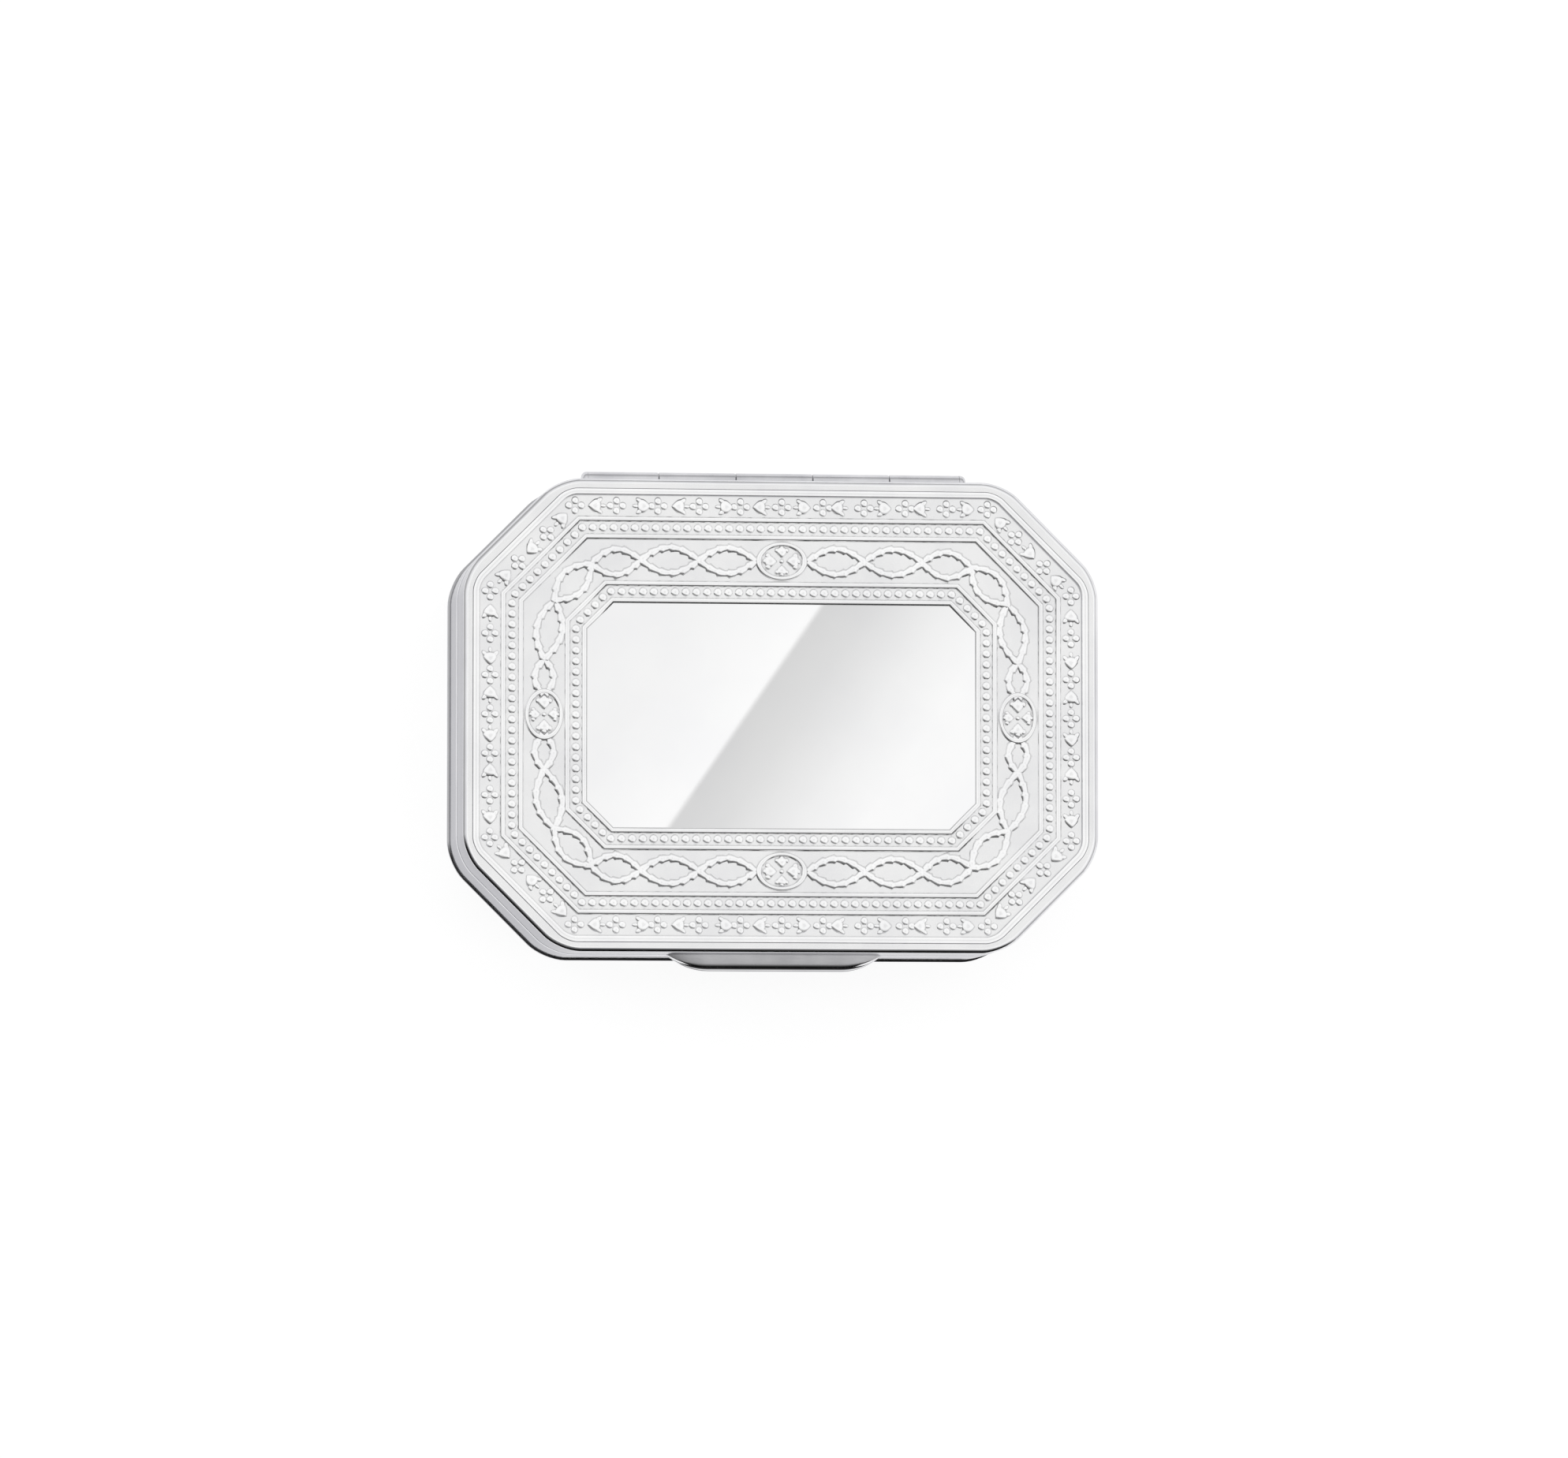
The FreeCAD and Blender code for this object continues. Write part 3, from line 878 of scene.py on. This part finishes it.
@dataclass
class LidRim:
    """The lid's side band with its flat border and half-round moulding; in millimetres."""

    outline: CutCorner = BOX_OUTLINE
    opening: CutCorner = CutCorner(half_length=37.95, half_depth=27.55, cut=11.199, rounding=2.6)
    bottom: float = 11.1
    top: float = 20.0
    wall: float = 0.65
    lower_edge: float = 0.2
    # The middle point of the rounded lower edge, as a share of its radius from its centre
    lower_share: float = 0.7
    seat: float = 19.0
    ledge_width: float = 1.0
    ledge: float = 18.4
    # The edge's section, from the wall to the border: how far back and how far down from the top
    edge_section: Points = (
        (0.0, 0.46), (0.03, 0.38), (0.08, 0.32), (0.28, 0.135), (0.34, 0.09), (0.42, 0.045), (0.52, 0.012),
        (0.64, 0.0),
    )
    moulding_width: float = 0.85
    # The moulding's section, from its outer foot: shares of its width, and rise above the border
    moulding_section: Points = (
        (0.0, 0.0), (0.05, -0.08), (0.1, 0.1), (0.2, 0.12), (0.35, 0.14), (0.5, 0.15), (0.65, 0.14),
        (0.8, 0.12), (0.94, 0.09), (0.985, 0.02), (1.0, -0.4),
    )
    # How far below the top the struck finish of the border reaches
    border_drop: float = 0.02

    def build(self, hinge: Hinge) -> None:
        """Make the rim and dress the lid's joint strip.

        Args:
            hinge: The hinge that the wall makes room for.
        """
        bench = Bench("lid_rim_band")
        outer, opening, edge = self.outline, self.opening, self.lower_edge
        soft = edge * self.lower_share
        finishes = [POLISHED, STRUCK, SATIN]
        loops = [outer.inset(edge - back).loop(bench, self.bottom + edge - up)
                 for back, up in ((0.0, edge), (soft, soft), (edge, 0.0))]
        loops += [outer.inset(back).loop(bench, self.top - drop) for back, drop in self.edge_section]
        loops += [opening.inset((share - 1.0) * self.moulding_width).loop(bench, self.top + rise)
                  for share, rise in self.moulding_section]
        loops.append(opening.loop(bench, self.seat))
        loops += [opening.inset(self.ledge_width).loop(bench, z) for z in (self.seat, self.ledge)]
        loops += [outer.inset(self.wall).loop(bench, z) for z in (self.ledge, self.bottom)]
        bench.loft(loops, closed=True)
        bench.cut(hinge.trough(Body.LID))
        bench.tidy()
        for face in bench.bm.faces:
            middle = face.calc_center_median()
            inwards = face.normal.z < LOOKS_DOWN or face.normal.dot((middle.x, middle.y, 0.0)) < 0
            if middle.z > self.top - self.border_drop:
                face.material_index = finishes.index(STRUCK)
            elif inwards and self.bottom + edge < middle.z < self.seat:
                face.material_index = finishes.index(SATIN)
        bench.finish(Body.LID, finishes, ["lid_rim"])
        dress_node("lid_joint_bearer", SATIN)


@dataclass
class StruckSheet:
    """The lid's plate with its grounds, its four mitred frames and the vacant panel; in millimetres."""

    seam: CutCorner = CutCorner(half_length=37.97, half_depth=27.57, cut=11.2, rounding=2.6)
    seat: float = 19.0
    frame_width: float = 0.76
    # Half of a frame's section, from its foot: how far in and how high
    frame_side: Points = (
        (0.0, 0.0), (0.04, 0.1), (0.14, 0.19), (0.2, 0.225), (0.28, 0.25), (0.38, 0.255),
    )

    def build(self) -> None:
        """Make the sheet, struck above and satin below, with its mirror panel."""
        bench = Bench("struck_sheet")
        finishes = [STRUCK, MIRROR, SATIN]
        low, high = [self.seam.loop(bench, z) for z in (self.seat, GROUND)]
        bench.loft([low, high])
        bench.cap(low).material_index = finishes.index(SATIN)
        half = self.frame_width / 2
        section = self.frame_section()
        reached = FRAME_INSETS[0] - half
        panel = PLATE_OUTLINE.inset(reached).face(bench, GROUND)
        bench.loft([high, list(panel.edges)])
        for inset in FRAME_INSETS:
            if inset - half > reached:
                bench.draw_in(panel, inset - half - reached)
            for (near, low_z), (far, high_z) in zip(section, section[1:]):
                bench.draw_in(panel, far - near, high_z - low_z)
            reached = inset + half
        panel.material_index = finishes.index(MIRROR)
        bench.finish(Body.LID, finishes, ["lid_plate"])

    def frame_section(self) -> list[Pair]:
        """Draw a frame's section.

        Returns:
            How far in and how high each point lies, from the outer foot to the inner one.
        """
        side = list(self.frame_side)
        return side + [(self.frame_width - along, rise) for along, rise in reversed(side[:-1])]


@dataclass(frozen=True)
class BeadRow:
    """One row of beads between two frames; in millimetres."""

    name: str
    inset: float
    count: int
    radius: float = 0.57
    rise: float = 0.24

    def build(self) -> None:
        """Make the row."""
        path = PLATE_OUTLINE.inset(self.inset)
        step = path.length() / self.count
        bead = dome("bead", (self.radius, self.radius, self.rise))
        row = Bench(self.name)
        row.stamp(bead, [turned_to(*path.walk(step * index), GROUND) for index in range(self.count)])
        row.finish_relief()


BEAD_ROWS = (
    BeadRow("outer_bead_row", between_frames(0), count=158),
    BeadRow("inner_bead_row", between_frames(2), count=116),
)


@dataclass
class Guilloche:
    """Two toothed strands that cross and part between the medallions; in millimetres."""

    inset: float = between_frames(1)
    # The crossings from one medallion to the next, as shares of a quarter of the way round
    crossing_shares: tuple[float, ...] = (0.072, 0.229, 0.39, 0.532, 0.674, 0.848, 0.948)
    # How far a strand bows out, the length of eye from which it does so fully, and its bow's power of a sine
    swing: float = 1.62
    full_eye: float = 6.2
    bow_power: float = 0.92
    bow_steps: int = 10
    # A strand's edge is cut into teeth: it widens from the one radius to the other, then starts again
    radii: Pair = (0.38, 0.62)
    rise: float = 0.29
    tooth_pitch: float = 1.35
    tooth_steps: int = 6
    roundness: int = 3

    def build(self) -> None:
        """Make both strands of all four quarters, open below the ground."""
        bench = Bench("guilloche_strands")
        for crossings in self.quarters():
            for side in (1, -1):
                self.add_tube(bench, self.serrated(self.strand(crossings, side)))
        bmesh.ops.bisect_plane(
            bench.bm, geom=bench.bm.verts[:] + bench.bm.edges[:] + bench.bm.faces[:],
            plane_co=(0, 0, GROUND - SUNK), plane_no=(0, 0, -1), clear_outer=True,
        )
        bench.finish_relief()

    def quarters(self) -> list[list[Vector]]:
        """Place the crossings.

        Returns:
            Four runs of crossings, each from one medallion to the next.
        """
        path = PLATE_OUTLINE.inset(self.inset)
        whole = path.length()
        stations = [share * whole / 4 for share in self.crossing_shares]
        ways = [(0.0, 1.0), (whole / 2, -1.0), (whole / 2, 1.0), (whole, -1.0)]
        return [[path.walk(start + sign * station)[0] for station in stations] for start, sign in ways]

    def strand(self, crossings: Sequence[Vector], first_side: int) -> list[Vector]:
        """Run one strand from crossing to crossing, bowing to either side in turn.

        Args:
            crossings: The places where the two strands cross.
            first_side: The side of the first bow, one or minus one.

        Returns:
            The points of its line.
        """
        line = []
        side = first_side
        for near, far in zip(crossings, crossings[1:]):
            chord = far - near
            across = Vector((-chord.y, chord.x, 0)).normalized() * side
            swing = self.swing * min(1.0, chord.length / self.full_eye)
            for step in range(self.bow_steps):
                share = step / self.bow_steps
                bow = swing * math.sin(math.pi * share) ** self.bow_power
                line.append(near + chord * share + across * bow)
            side = -side
        return line + [crossings[-1]]

    def serrated(self, line: Sequence[Vector]) -> list[tuple[Vector, float]]:
        """Cut a strand's edge into teeth.

        Args:
            line: The points of its middle.

        Returns:
            Even steps along the line, each with the strand's radius there.
        """
        low, high = self.radii
        step = self.tooth_pitch / self.tooth_steps
        stops: list[tuple[Vector, float]] = []
        walked = 0.0
        for near, far in zip(line, line[1:]):
            run = far - near
            while len(stops) * step <= walked + run.length:
                share = len(stops) % self.tooth_steps / (self.tooth_steps - 1)
                place = near + run.normalized() * (len(stops) * step - walked)
                stops.append((place, low + (high - low) * share))
            walked += run.length
        return stops

    def add_tube(self, bench: Bench, stops: Sequence[tuple[Vector, float]]) -> None:
        """Add a flattened tube along a line to a mesh.

        Args:
            bench: The mesh that takes it.
            stops: The points of its middle with its radius at each.
        """
        curve = bpy.data.curves.new("strand", "CURVE")
        curve.dimensions = "3D"
        curve.bevel_depth = 1.0
        curve.bevel_resolution = self.roundness
        curve.use_fill_caps = True
        spline = curve.splines.new("POLY")
        spline.points.add(len(stops) - 1)
        for point, (place, radius) in zip(spline.points, stops):
            point.co = (place.x, place.y, 0.0, 1.0)
            point.radius = radius
        rough = bpy.data.objects.new("strand", curve)
        bpy.context.scene.collection.objects.link(rough)
        mesh = bpy.data.meshes.new_from_object(rough.evaluated_get(bpy.context.evaluated_depsgraph_get()))
        flatten = Matrix.Diagonal((1.0, 1.0, self.rise / max(self.radii), 1.0))
        mesh.transform(Matrix.Translation((0, 0, GROUND)) @ flatten)
        bench.bm.from_mesh(mesh)
        bpy.data.meshes.remove(mesh)
        bpy.data.curves.remove(curve)


@dataclass
class Medallions:
    """Four ovals, one on each side, with crosses of lobed petals; in millimetres."""

    inset: float = between_frames(1)
    half_length: float = 3.3
    half_width: float = 2.46
    # The ring's section, from its outer foot: shares of the oval's half sizes, and rise
    ring_section: Points = (
        (1.0, -SUNK), (0.985, 0.11), (0.955, 0.21), (0.92, 0.26), (0.87, 0.27), (0.82, 0.25), (0.785, 0.17),
        (0.76, 0.06), (0.75, -SUNK),
    )
    ring_steps: int = 56
    bead_radii: Triple = (0.32, 0.32, 0.26)
    # Half the length and width of the petals along the oval and across it, and how far out each stands
    petals: tuple[Triple, ...] = ((0.86, 0.8, 1.4), (0.7, 0.7, 1.1))
    petal_rise: float = 0.3
    # Three lobes on a petal's end: shares of its half length for their radius and reach, their fan in radians
    lobe_share: float = 0.47
    lobe_reach_share: float = 0.75
    lobe_fan: float = 1.05
    lobe_rise: float = 0.27

    def build(self) -> None:
        """Make the four medallions, each along its side."""
        path = PLATE_OUTLINE.inset(self.inset)
        bench = Bench("medallions")
        x, y = path.half_length, path.half_depth
        places = [Matrix.Translation((0, side, GROUND)) for side in (y, -y)]
        places += [Matrix.Translation((side, 0, GROUND)) @ turned(math.pi / 2) for side in (x, -x)]
        bench.stamp(self.form(), places)
        bench.finish_relief()

    def form(self) -> Bench:
        """Make one medallion, its length along X.

        Returns:
            An oval ring round four petals and a bead.
        """
        bench = Bench("medallion")
        bench.spin(self.ring_section, Z_AXIS, self.ring_steps, closed=True)
        bmesh.ops.scale(bench.bm, vec=(self.half_length, self.half_width, 1.0), verts=bench.bm.verts)
        bench.stamp(dome("medallion_bead", self.bead_radii), [Matrix.Identity(4)])
        for turn in range(4):
            length, width, reach = self.petals[turn % 2]
            spoke = turned(turn * math.pi / 2) @ Matrix.Translation((reach, 0, 0))
            petal = teardrop("petal", (length, width, self.petal_rise))
            bench.stamp(petal, [spoke @ turned(math.pi)])
            lobe_radius = self.lobe_share * length
            lobe_reach = self.lobe_reach_share * length
            bench.stamp(dome("lobe", (lobe_radius, lobe_radius, self.lobe_rise)), [
                spoke @ Matrix.Translation((lobe_reach * math.cos(fan), width * math.sin(fan), 0))
                for fan in (-self.lobe_fan, 0.0, self.lobe_fan)
            ])
        return bench


@dataclass(frozen=True)
class FriezeRun:
    """One straight stretch of the frieze in the right rear quarter; in millimetres."""

    start: Pair
    end: Pair
    # How far along the run the flowers and the buds lie
    flowers: tuple[float, ...]
    buds: tuple[tuple[float, Tip], ...]
    # How far a flower's petals stand from its middle, along the run and across it
    petal_reach: Pair


FRIEZE_RUNS = (
    FriezeRun(
        start=(0.0, 26.2), end=(26.0, 26.2), flowers=(0.0, 5.2, 10.4, 15.6, 20.8, 26.0),
        buds=((2.6, Tip.AHEAD), (7.2, Tip.BACK), (12.8, Tip.AHEAD), (17.6, Tip.BACK), (23.3, Tip.AHEAD)),
        petal_reach=(0.79, 0.63),
    ),
    FriezeRun(
        start=(36.6, 0.0), end=(36.6, 15.4), flowers=(0.0, 4.9, 10.1, 15.4),
        buds=((2.5, Tip.AHEAD), (7.2, Tip.BACK), (12.7, Tip.AHEAD)), petal_reach=(0.77, 0.63),
    ),
    FriezeRun(
        start=(26.0, 26.2), end=(36.6, 15.4), flowers=(5.0, 10.1),
        buds=((2.5, Tip.BACK), (7.5, Tip.AHEAD), (12.6, Tip.BACK)), petal_reach=(0.63, 0.68),
    ),
)


@dataclass
class Frieze:
    """The outer band of flowers and tulip buds, alike in its four quarters; in millimetres."""

    # Bosses: half their length, half their width and their rise
    petal_along: Triple = (0.5, 0.5, 0.21)
    petal_across: Triple = (0.48, 0.52, 0.21)
    heart: Triple = (0.88, 0.86, 0.3)
    lobe: Triple = (0.58, 0.33, 0.22)
    stem: Triple = (0.42, 0.27, 0.18)
    # Where a bud's bosses lie: its heart ahead of its middle, its lobes behind it and out, its stem behind
    heart_ahead: float = 0.26
    lobe_back: float = 0.3
    lobe_out: float = 0.66
    lobe_sweep: float = math.radians(38)
    stem_back: float = 0.82

    def build(self) -> None:
        """Make the flowers and the buds."""
        flowers, buds = Bench("frieze_flowers"), Bench("frieze_buds")
        bud = self.bud_form()
        for run in FRIEZE_RUNS:
            # A run and its mirror image share the flower at a side's middle, so flowers are kept by place
            places: dict[Pair, Matrix] = {}
            for sign_x, sign_y in ((1, 1), (-1, 1), (1, -1), (-1, -1)):
                start = Vector((run.start[0] * sign_x, run.start[1] * sign_y, 0))
                ahead = Vector((run.end[0] * sign_x, run.end[1] * sign_y, 0)) - start
                ahead.normalize()
                for along in run.flowers:
                    place = start + ahead * along
                    places[round(place.x, 2), round(place.y, 2)] = turned_to(place, ahead, GROUND)
                buds.stamp(bud, [
                    turned_to(start + ahead * along, ahead * tip.value, GROUND) for along, tip in run.buds
                ])
            flowers.stamp(self.flower_form(run.petal_reach), places.values())
        flowers.finish_relief()
        buds.finish_relief()

    def flower_form(self, petal_reach: Pair) -> Bench:
        """Make one flower of four round petals.

        Args:
            petal_reach: How far the petals stand from the middle, along X and across it.

        Returns:
            The flower, two petals along X and two across.
        """
        bench = Bench("flower")
        along, across = petal_reach
        ahead, aside = dome("petal", self.petal_along), dome("petal", self.petal_across)
        bench.stamp(ahead, [Matrix.Translation((x, 0, 0)) for x in (along, -along)])
        bench.stamp(aside, [Matrix.Translation((0, y, 0)) for y in (across, -across)])
        return bench

    def bud_form(self) -> Bench:
        """Make one tulip bud.

        Returns:
            A bud that points along X, with two swept lobes and a stem.
        """
        bench = Bench("bud")
        bench.stamp(teardrop("bud_heart", self.heart), [Matrix.Translation((self.heart_ahead, 0, 0))])
        bench.stamp(dome("bud_lobe", self.lobe), [
            Matrix.Translation((-self.lobe_back, side * self.lobe_out, 0)) @ turned(-side * self.lobe_sweep)
            for side in (1, -1)
        ])
        bench.stamp(dome("bud_stem", self.stem), [Matrix.Translation((-self.stem_back, 0, 0))])
        return bench


@dataclass
class ThumbPiece:
    """The boat-shaped grip on the lid's front wall; in millimetres."""

    half_length: float = 13.6
    half_front: float = 8.4
    reach: float = 2.05
    root: float = -29.6
    # How far the grip is let into the wall
    let_in: float = 0.1
    bottom: float = 11.3
    # Section from the wall outwards: how far out and how high, over the top and back underneath
    section: Points = (
        (0.0, 1.3), (0.5, 1.14), (1.0, 0.98), (1.18, 0.92), (1.3, 0.86), (1.42, 0.77), (1.58, 0.62),
        (1.72, 0.49), (1.8, 0.44), (1.86, 0.42), (1.96, 0.42), (2.02, 0.38), (2.05, 0.3), (2.04, 0.1),
        (1.98, 0.0), (0.0, 0.0),
    )
    # How far out the brushed top reaches
    top_reach: float = 1.2
    # The share of its reach left at a tip, and the power of the reach by which its height falls
    tip_share: float = 0.012
    height_power: float = 0.6
    steps: int = 14

    def reach_at(self, along: float) -> float:
        """Find how far the grip stands out at a place along it.

        Args:
            along: The distance from its middle.

        Returns:
            The share of its full reach.
        """
        over = abs(along) - self.half_front
        if over <= 0:
            return 1.0
        run = self.half_length - self.half_front
        radius = (run * run + self.reach * self.reach) / (2 * self.reach)
        fall = radius - math.sqrt(max(radius * radius - over * over, 0.0))
        return max(1.0 - fall / self.reach, self.tip_share)

    def build(self) -> None:
        """Draw the section along the wall, closing it in towards the tips, and brush its top."""
        bench = Bench("thumb_grip")
        finishes = [POLISHED, BRUSHED]
        run = self.half_length - self.half_front
        turns = [math.pi / 2 * step / self.steps for step in range(self.steps + 1)]
        bends = [self.half_front + run * math.sin(turn) for turn in turns]
        loops = [self.section_loop(bench, x) for x in [-x for x in reversed(bends)] + [0.0] + bends]
        bench.loft(loops)
        for loop in (loops[0], loops[-1]):
            bench.cap(loop)
        bench.tidy()
        for face in bench.bm.faces:
            middle = face.calc_center_median()
            if face.normal.z > 0 and self.root - middle.y < self.top_reach * self.reach_at(middle.x):
                face.material_index = finishes.index(BRUSHED)
        bench.finish(Body.LID, finishes, ["thumb_piece"], crease=GRIP_CREASE, level_flats=False)

    def section_loop(self, bench: Bench, x: float) -> Loop:
        """Draw the section at a place along the grip.

        Args:
            bench: The mesh that takes it.
            x: The place.

        Returns:
            The section's edges.
        """
        share = self.reach_at(x)
        height = share ** self.height_power
        verts = []
        for out, up in self.section:
            y = self.root + self.let_in if out == 0 else self.root - out * share
            verts.append(bench.bm.verts.new((x, y, self.bottom + up * height)))
        return [bench.bm.edges.new(pair) for pair in zip(verts, verts[1:] + verts[:1])]


@dataclass
class Studio:
    """A white table, a soft white tent and a camera nearly overhead; lengths in metres."""

    target: Triple = (0.0, 0.0, 0.020)
    toward_camera: Triple = (-0.1205, -0.0665, 0.9905)
    distance: float = 1.1304
    # Lens and sensor in millimetres, and the shift as shares of the sensor's width
    lens: float = 207.6
    sensor: float = 36.0
    shift: Pair = (0.00126, -0.00824)
    clip_start: float = 0.01
    table_size: float = 6.0
    table_drop: float = 0.00005
    table_colour: str = "#8E8E8E"
    # What the table adds to its own light where it is seen or mirrored
    table_lift: float = 0.84
    # The tent's dark opening: the way to it, how near a ray points that way where it starts and is full, the
    # heights of the ray between which it fades, and its levels there
    dark_side: Triple = (-0.34, -0.94, 0.0)
    opening_span: Pair = (0.25, 0.6)
    opening_heights: Pair = (0.15, 0.75)
    opening_levels: Pair = (0.01, 0.3)
    # The tent's level down at the table, and the height at which it is full
    skirt_level: float = 0.45
    skirt_height: float = 0.72
    # The tent's greyer top: its level, and the angles in degrees from its middle where it ends and is full
    top_level: float = 0.82
    top_angles: Pair = (14.0, 6.0)
    # The screen that the panel mirrors: the angles where it ends and is full, the way across its diagonal
    # edge, half its width in millimetres of panel, and its levels across
    screen_angles: Pair = (3.0, 2.0)
    across_edge: Triple = (0.8277, -0.5617, 0.0)
    screen_half: float = 40.0
    screen_levels: Points = (
        (0.0, 0.9), (0.3, 0.93), (0.449, 1.0), (0.456, 0.69), (0.52, 0.75), (0.62, 0.9), (0.7, 0.98),
        (1.0, 1.0),
    )

    def build(self) -> None:
        """Set up the table, the light and the camera."""
        bpy.context.scene.view_settings.view_transform = "Standard"
        self.build_table()
        self.build_light()
        self.build_camera()

    def build_table(self) -> None:
        """Lay a plain white table that keeps the box's shadow."""
        bench = Bench("table_top")
        bmesh.ops.create_grid(bench.bm, x_segments=1, y_segments=1, size=self.table_size / 2)
        bmesh.ops.translate(bench.bm, vec=(0, 0, -self.table_drop), verts=bench.bm.verts)
        table = bench.rough_object()
        bench.bm.free()
        # White card: matt and even, so that only the box's soft shadow shows on it
        card = bpy.data.materials.new("white_card")
        card.use_nodes = True
        tree = card.node_tree
        tree.nodes.clear()
        path = add_node(tree, "ShaderNodeLightPath").outputs
        shown = path["Is Camera Ray"]
        for kind in ("Is Glossy Ray", "Is Transmission Ray"):
            either = add_node(tree, "ShaderNodeMath", {0: shown, 1: path[kind]}, operation="MAXIMUM")
            shown = either.outputs[0]
        lift = add_node(tree, "ShaderNodeMath", {0: shown, 1: self.table_lift}, operation="MULTIPLY")
        shader = add_node(
            tree, "ShaderNodeBsdfPrincipled",
            {"Base Color": linear(self.table_colour), "Roughness": 0.9, "Specular IOR Level": 0.0,
             "Emission Color": linear("#FFFFFF"), "Emission Strength": lift.outputs[0]},
        )
        add_node(tree, "ShaderNodeOutputMaterial", {"Surface": shader.outputs["BSDF"]})
        table.data.materials.append(card)

    def build_light(self) -> None:
        """Light the box from a white tent with a grey top and a dark opening at the front left."""
        world = bpy.data.worlds.new("white_tent")
        world.use_nodes = True
        bpy.context.scene.world = world
        tree = world.node_tree
        tree.nodes.clear()
        ray = add_node(tree, "ShaderNodeTexCoord").outputs["Generated"]
        top, sides = self.tent_top(tree, ray), self.tent_sides(tree, ray)
        level = add_node(tree, "ShaderNodeMath", {0: top, 1: sides}, operation="MULTIPLY").outputs[0]
        tent = add_node(tree, "ShaderNodeBackground", {"Color": linear("#FFFFFF"), "Strength": level})
        add_node(tree, "ShaderNodeOutputWorld", {"Surface": tent.outputs["Background"]})

    def tent_sides(self, tree: Tree, ray: Socket) -> Socket:
        """Shade the tent's sides, towards the table and in the opening.

        Args:
            tree: The world's nodes.
            ray: The ray's direction.

        Returns:
            The level of the light.
        """
        height, toward_dark = [
            add_node(tree, "ShaderNodeVectorMath", {0: ray, 1: way}, operation="DOT_PRODUCT").outputs["Value"]
            for way in (Z_AXIS, self.dark_side)
        ]
        low, high = self.opening_heights
        darkest, lightest = self.opening_levels
        depth = add_node(
            tree, "ShaderNodeMapRange",
            {"Value": height, "From Min": low, "From Max": high, "To Min": darkest, "To Max": lightest},
        )
        start, full = self.opening_span
        opening = add_node(
            tree, "ShaderNodeMapRange",
            {"Value": toward_dark, "From Min": start, "From Max": full, "To Min": 1.0,
             "To Max": depth.outputs["Result"]},
            interpolation_type="SMOOTHSTEP",
        )
        skirt = add_node(
            tree, "ShaderNodeMapRange",
            {"Value": height, "From Min": 0.0, "From Max": self.skirt_height, "To Min": self.skirt_level,
             "To Max": 1.0},
            interpolation_type="SMOOTHSTEP",
        )
        return add_node(
            tree, "ShaderNodeMath", {0: skirt.outputs["Result"], 1: opening.outputs["Result"]},
            operation="MULTIPLY",
        ).outputs[0]

    def tent_top(self, tree: Tree, ray: Socket) -> Socket:
        """Shade the tent's top, with the screen that the panel mirrors.

        Args:
            tree: The world's nodes.
            ray: The ray's direction.

        Returns:
            The level of the light.
        """
        # Where the flat lid sends the camera's own line, and the way across the screen's edge there
        x, y, z = self.toward_camera
        overhead = Vector((-x, -y, z))
        edge = Vector(self.across_edge) * self.distance / MM
        toward_top, toward_edge = [
            add_node(tree, "ShaderNodeVectorMath", {0: ray, 1: way}, operation="DOT_PRODUCT").outputs["Value"]
            for way in (overhead, edge)
        ]
        top, screen = [
            add_node(
                tree, "ShaderNodeMapRange",
                {"Value": toward_top, "From Min": math.cos(math.radians(end)),
                 "From Max": math.cos(math.radians(full)), "To Min": outside, "To Max": inside},
                interpolation_type="SMOOTHSTEP",
            ).outputs["Result"]
            for (end, full), outside, inside in (
                (self.top_angles, 1.0, self.top_level), (self.screen_angles, 0.0, 1.0),
            )
        ]
        middle, half = edge.dot(overhead), self.screen_half
        across = add_node(
            tree, "ShaderNodeMapRange",
            {"Value": toward_edge, "From Min": middle - half, "From Max": middle + half},
        )
        ramp = add_node(tree, "ShaderNodeValToRGB", {"Fac": across.outputs["Result"]})
        stops = ramp.color_ramp.elements
        stops.remove(stops[0])
        last = stops[0]
        last.position, level = self.screen_levels[-1]
        last.color = (level, level, level, 1.0)
        for position, level in self.screen_levels[:-1]:
            stops.new(position).color = (level, level, level, 1.0)
        return add_node(
            tree, "ShaderNodeMix", {"Factor": screen, VALUE_A: top, VALUE_B: ramp.outputs["Color"]},
            data_type="FLOAT",
        ).outputs[0]

    def build_camera(self) -> None:
        """Stand the camera nearly overhead, a little to the front left."""
        data = bpy.data.cameras.new("camera")
        data.sensor_fit = "HORIZONTAL"
        data.sensor_width = self.sensor
        data.lens = self.lens
        data.shift_x, data.shift_y = self.shift
        data.clip_start = self.clip_start
        camera = bpy.data.objects.new("camera", data)
        bpy.context.scene.collection.objects.link(camera)
        back = Vector(self.toward_camera).normalized()
        right = Vector((0, 1, 0)).cross(back).normalized()
        up = back.cross(right)
        turn = Matrix((right, up, back)).transposed().to_4x4()
        camera.matrix_world = Matrix.Translation(Vector(self.target) + back * self.distance) @ turn
        bpy.context.scene.camera = camera


def main() -> None:
    """Build the box piece by piece, then the studio round it."""
    hinge = Hinge()
    Base().build(hinge)
    hinge.build()
    LidRim().build(hinge)
    for part in (StruckSheet(), *BEAD_ROWS, Guilloche(), Medallions(), Frieze(), ThumbPiece(), Studio()):
        part.build()


if __name__ == "__main__":
    main()
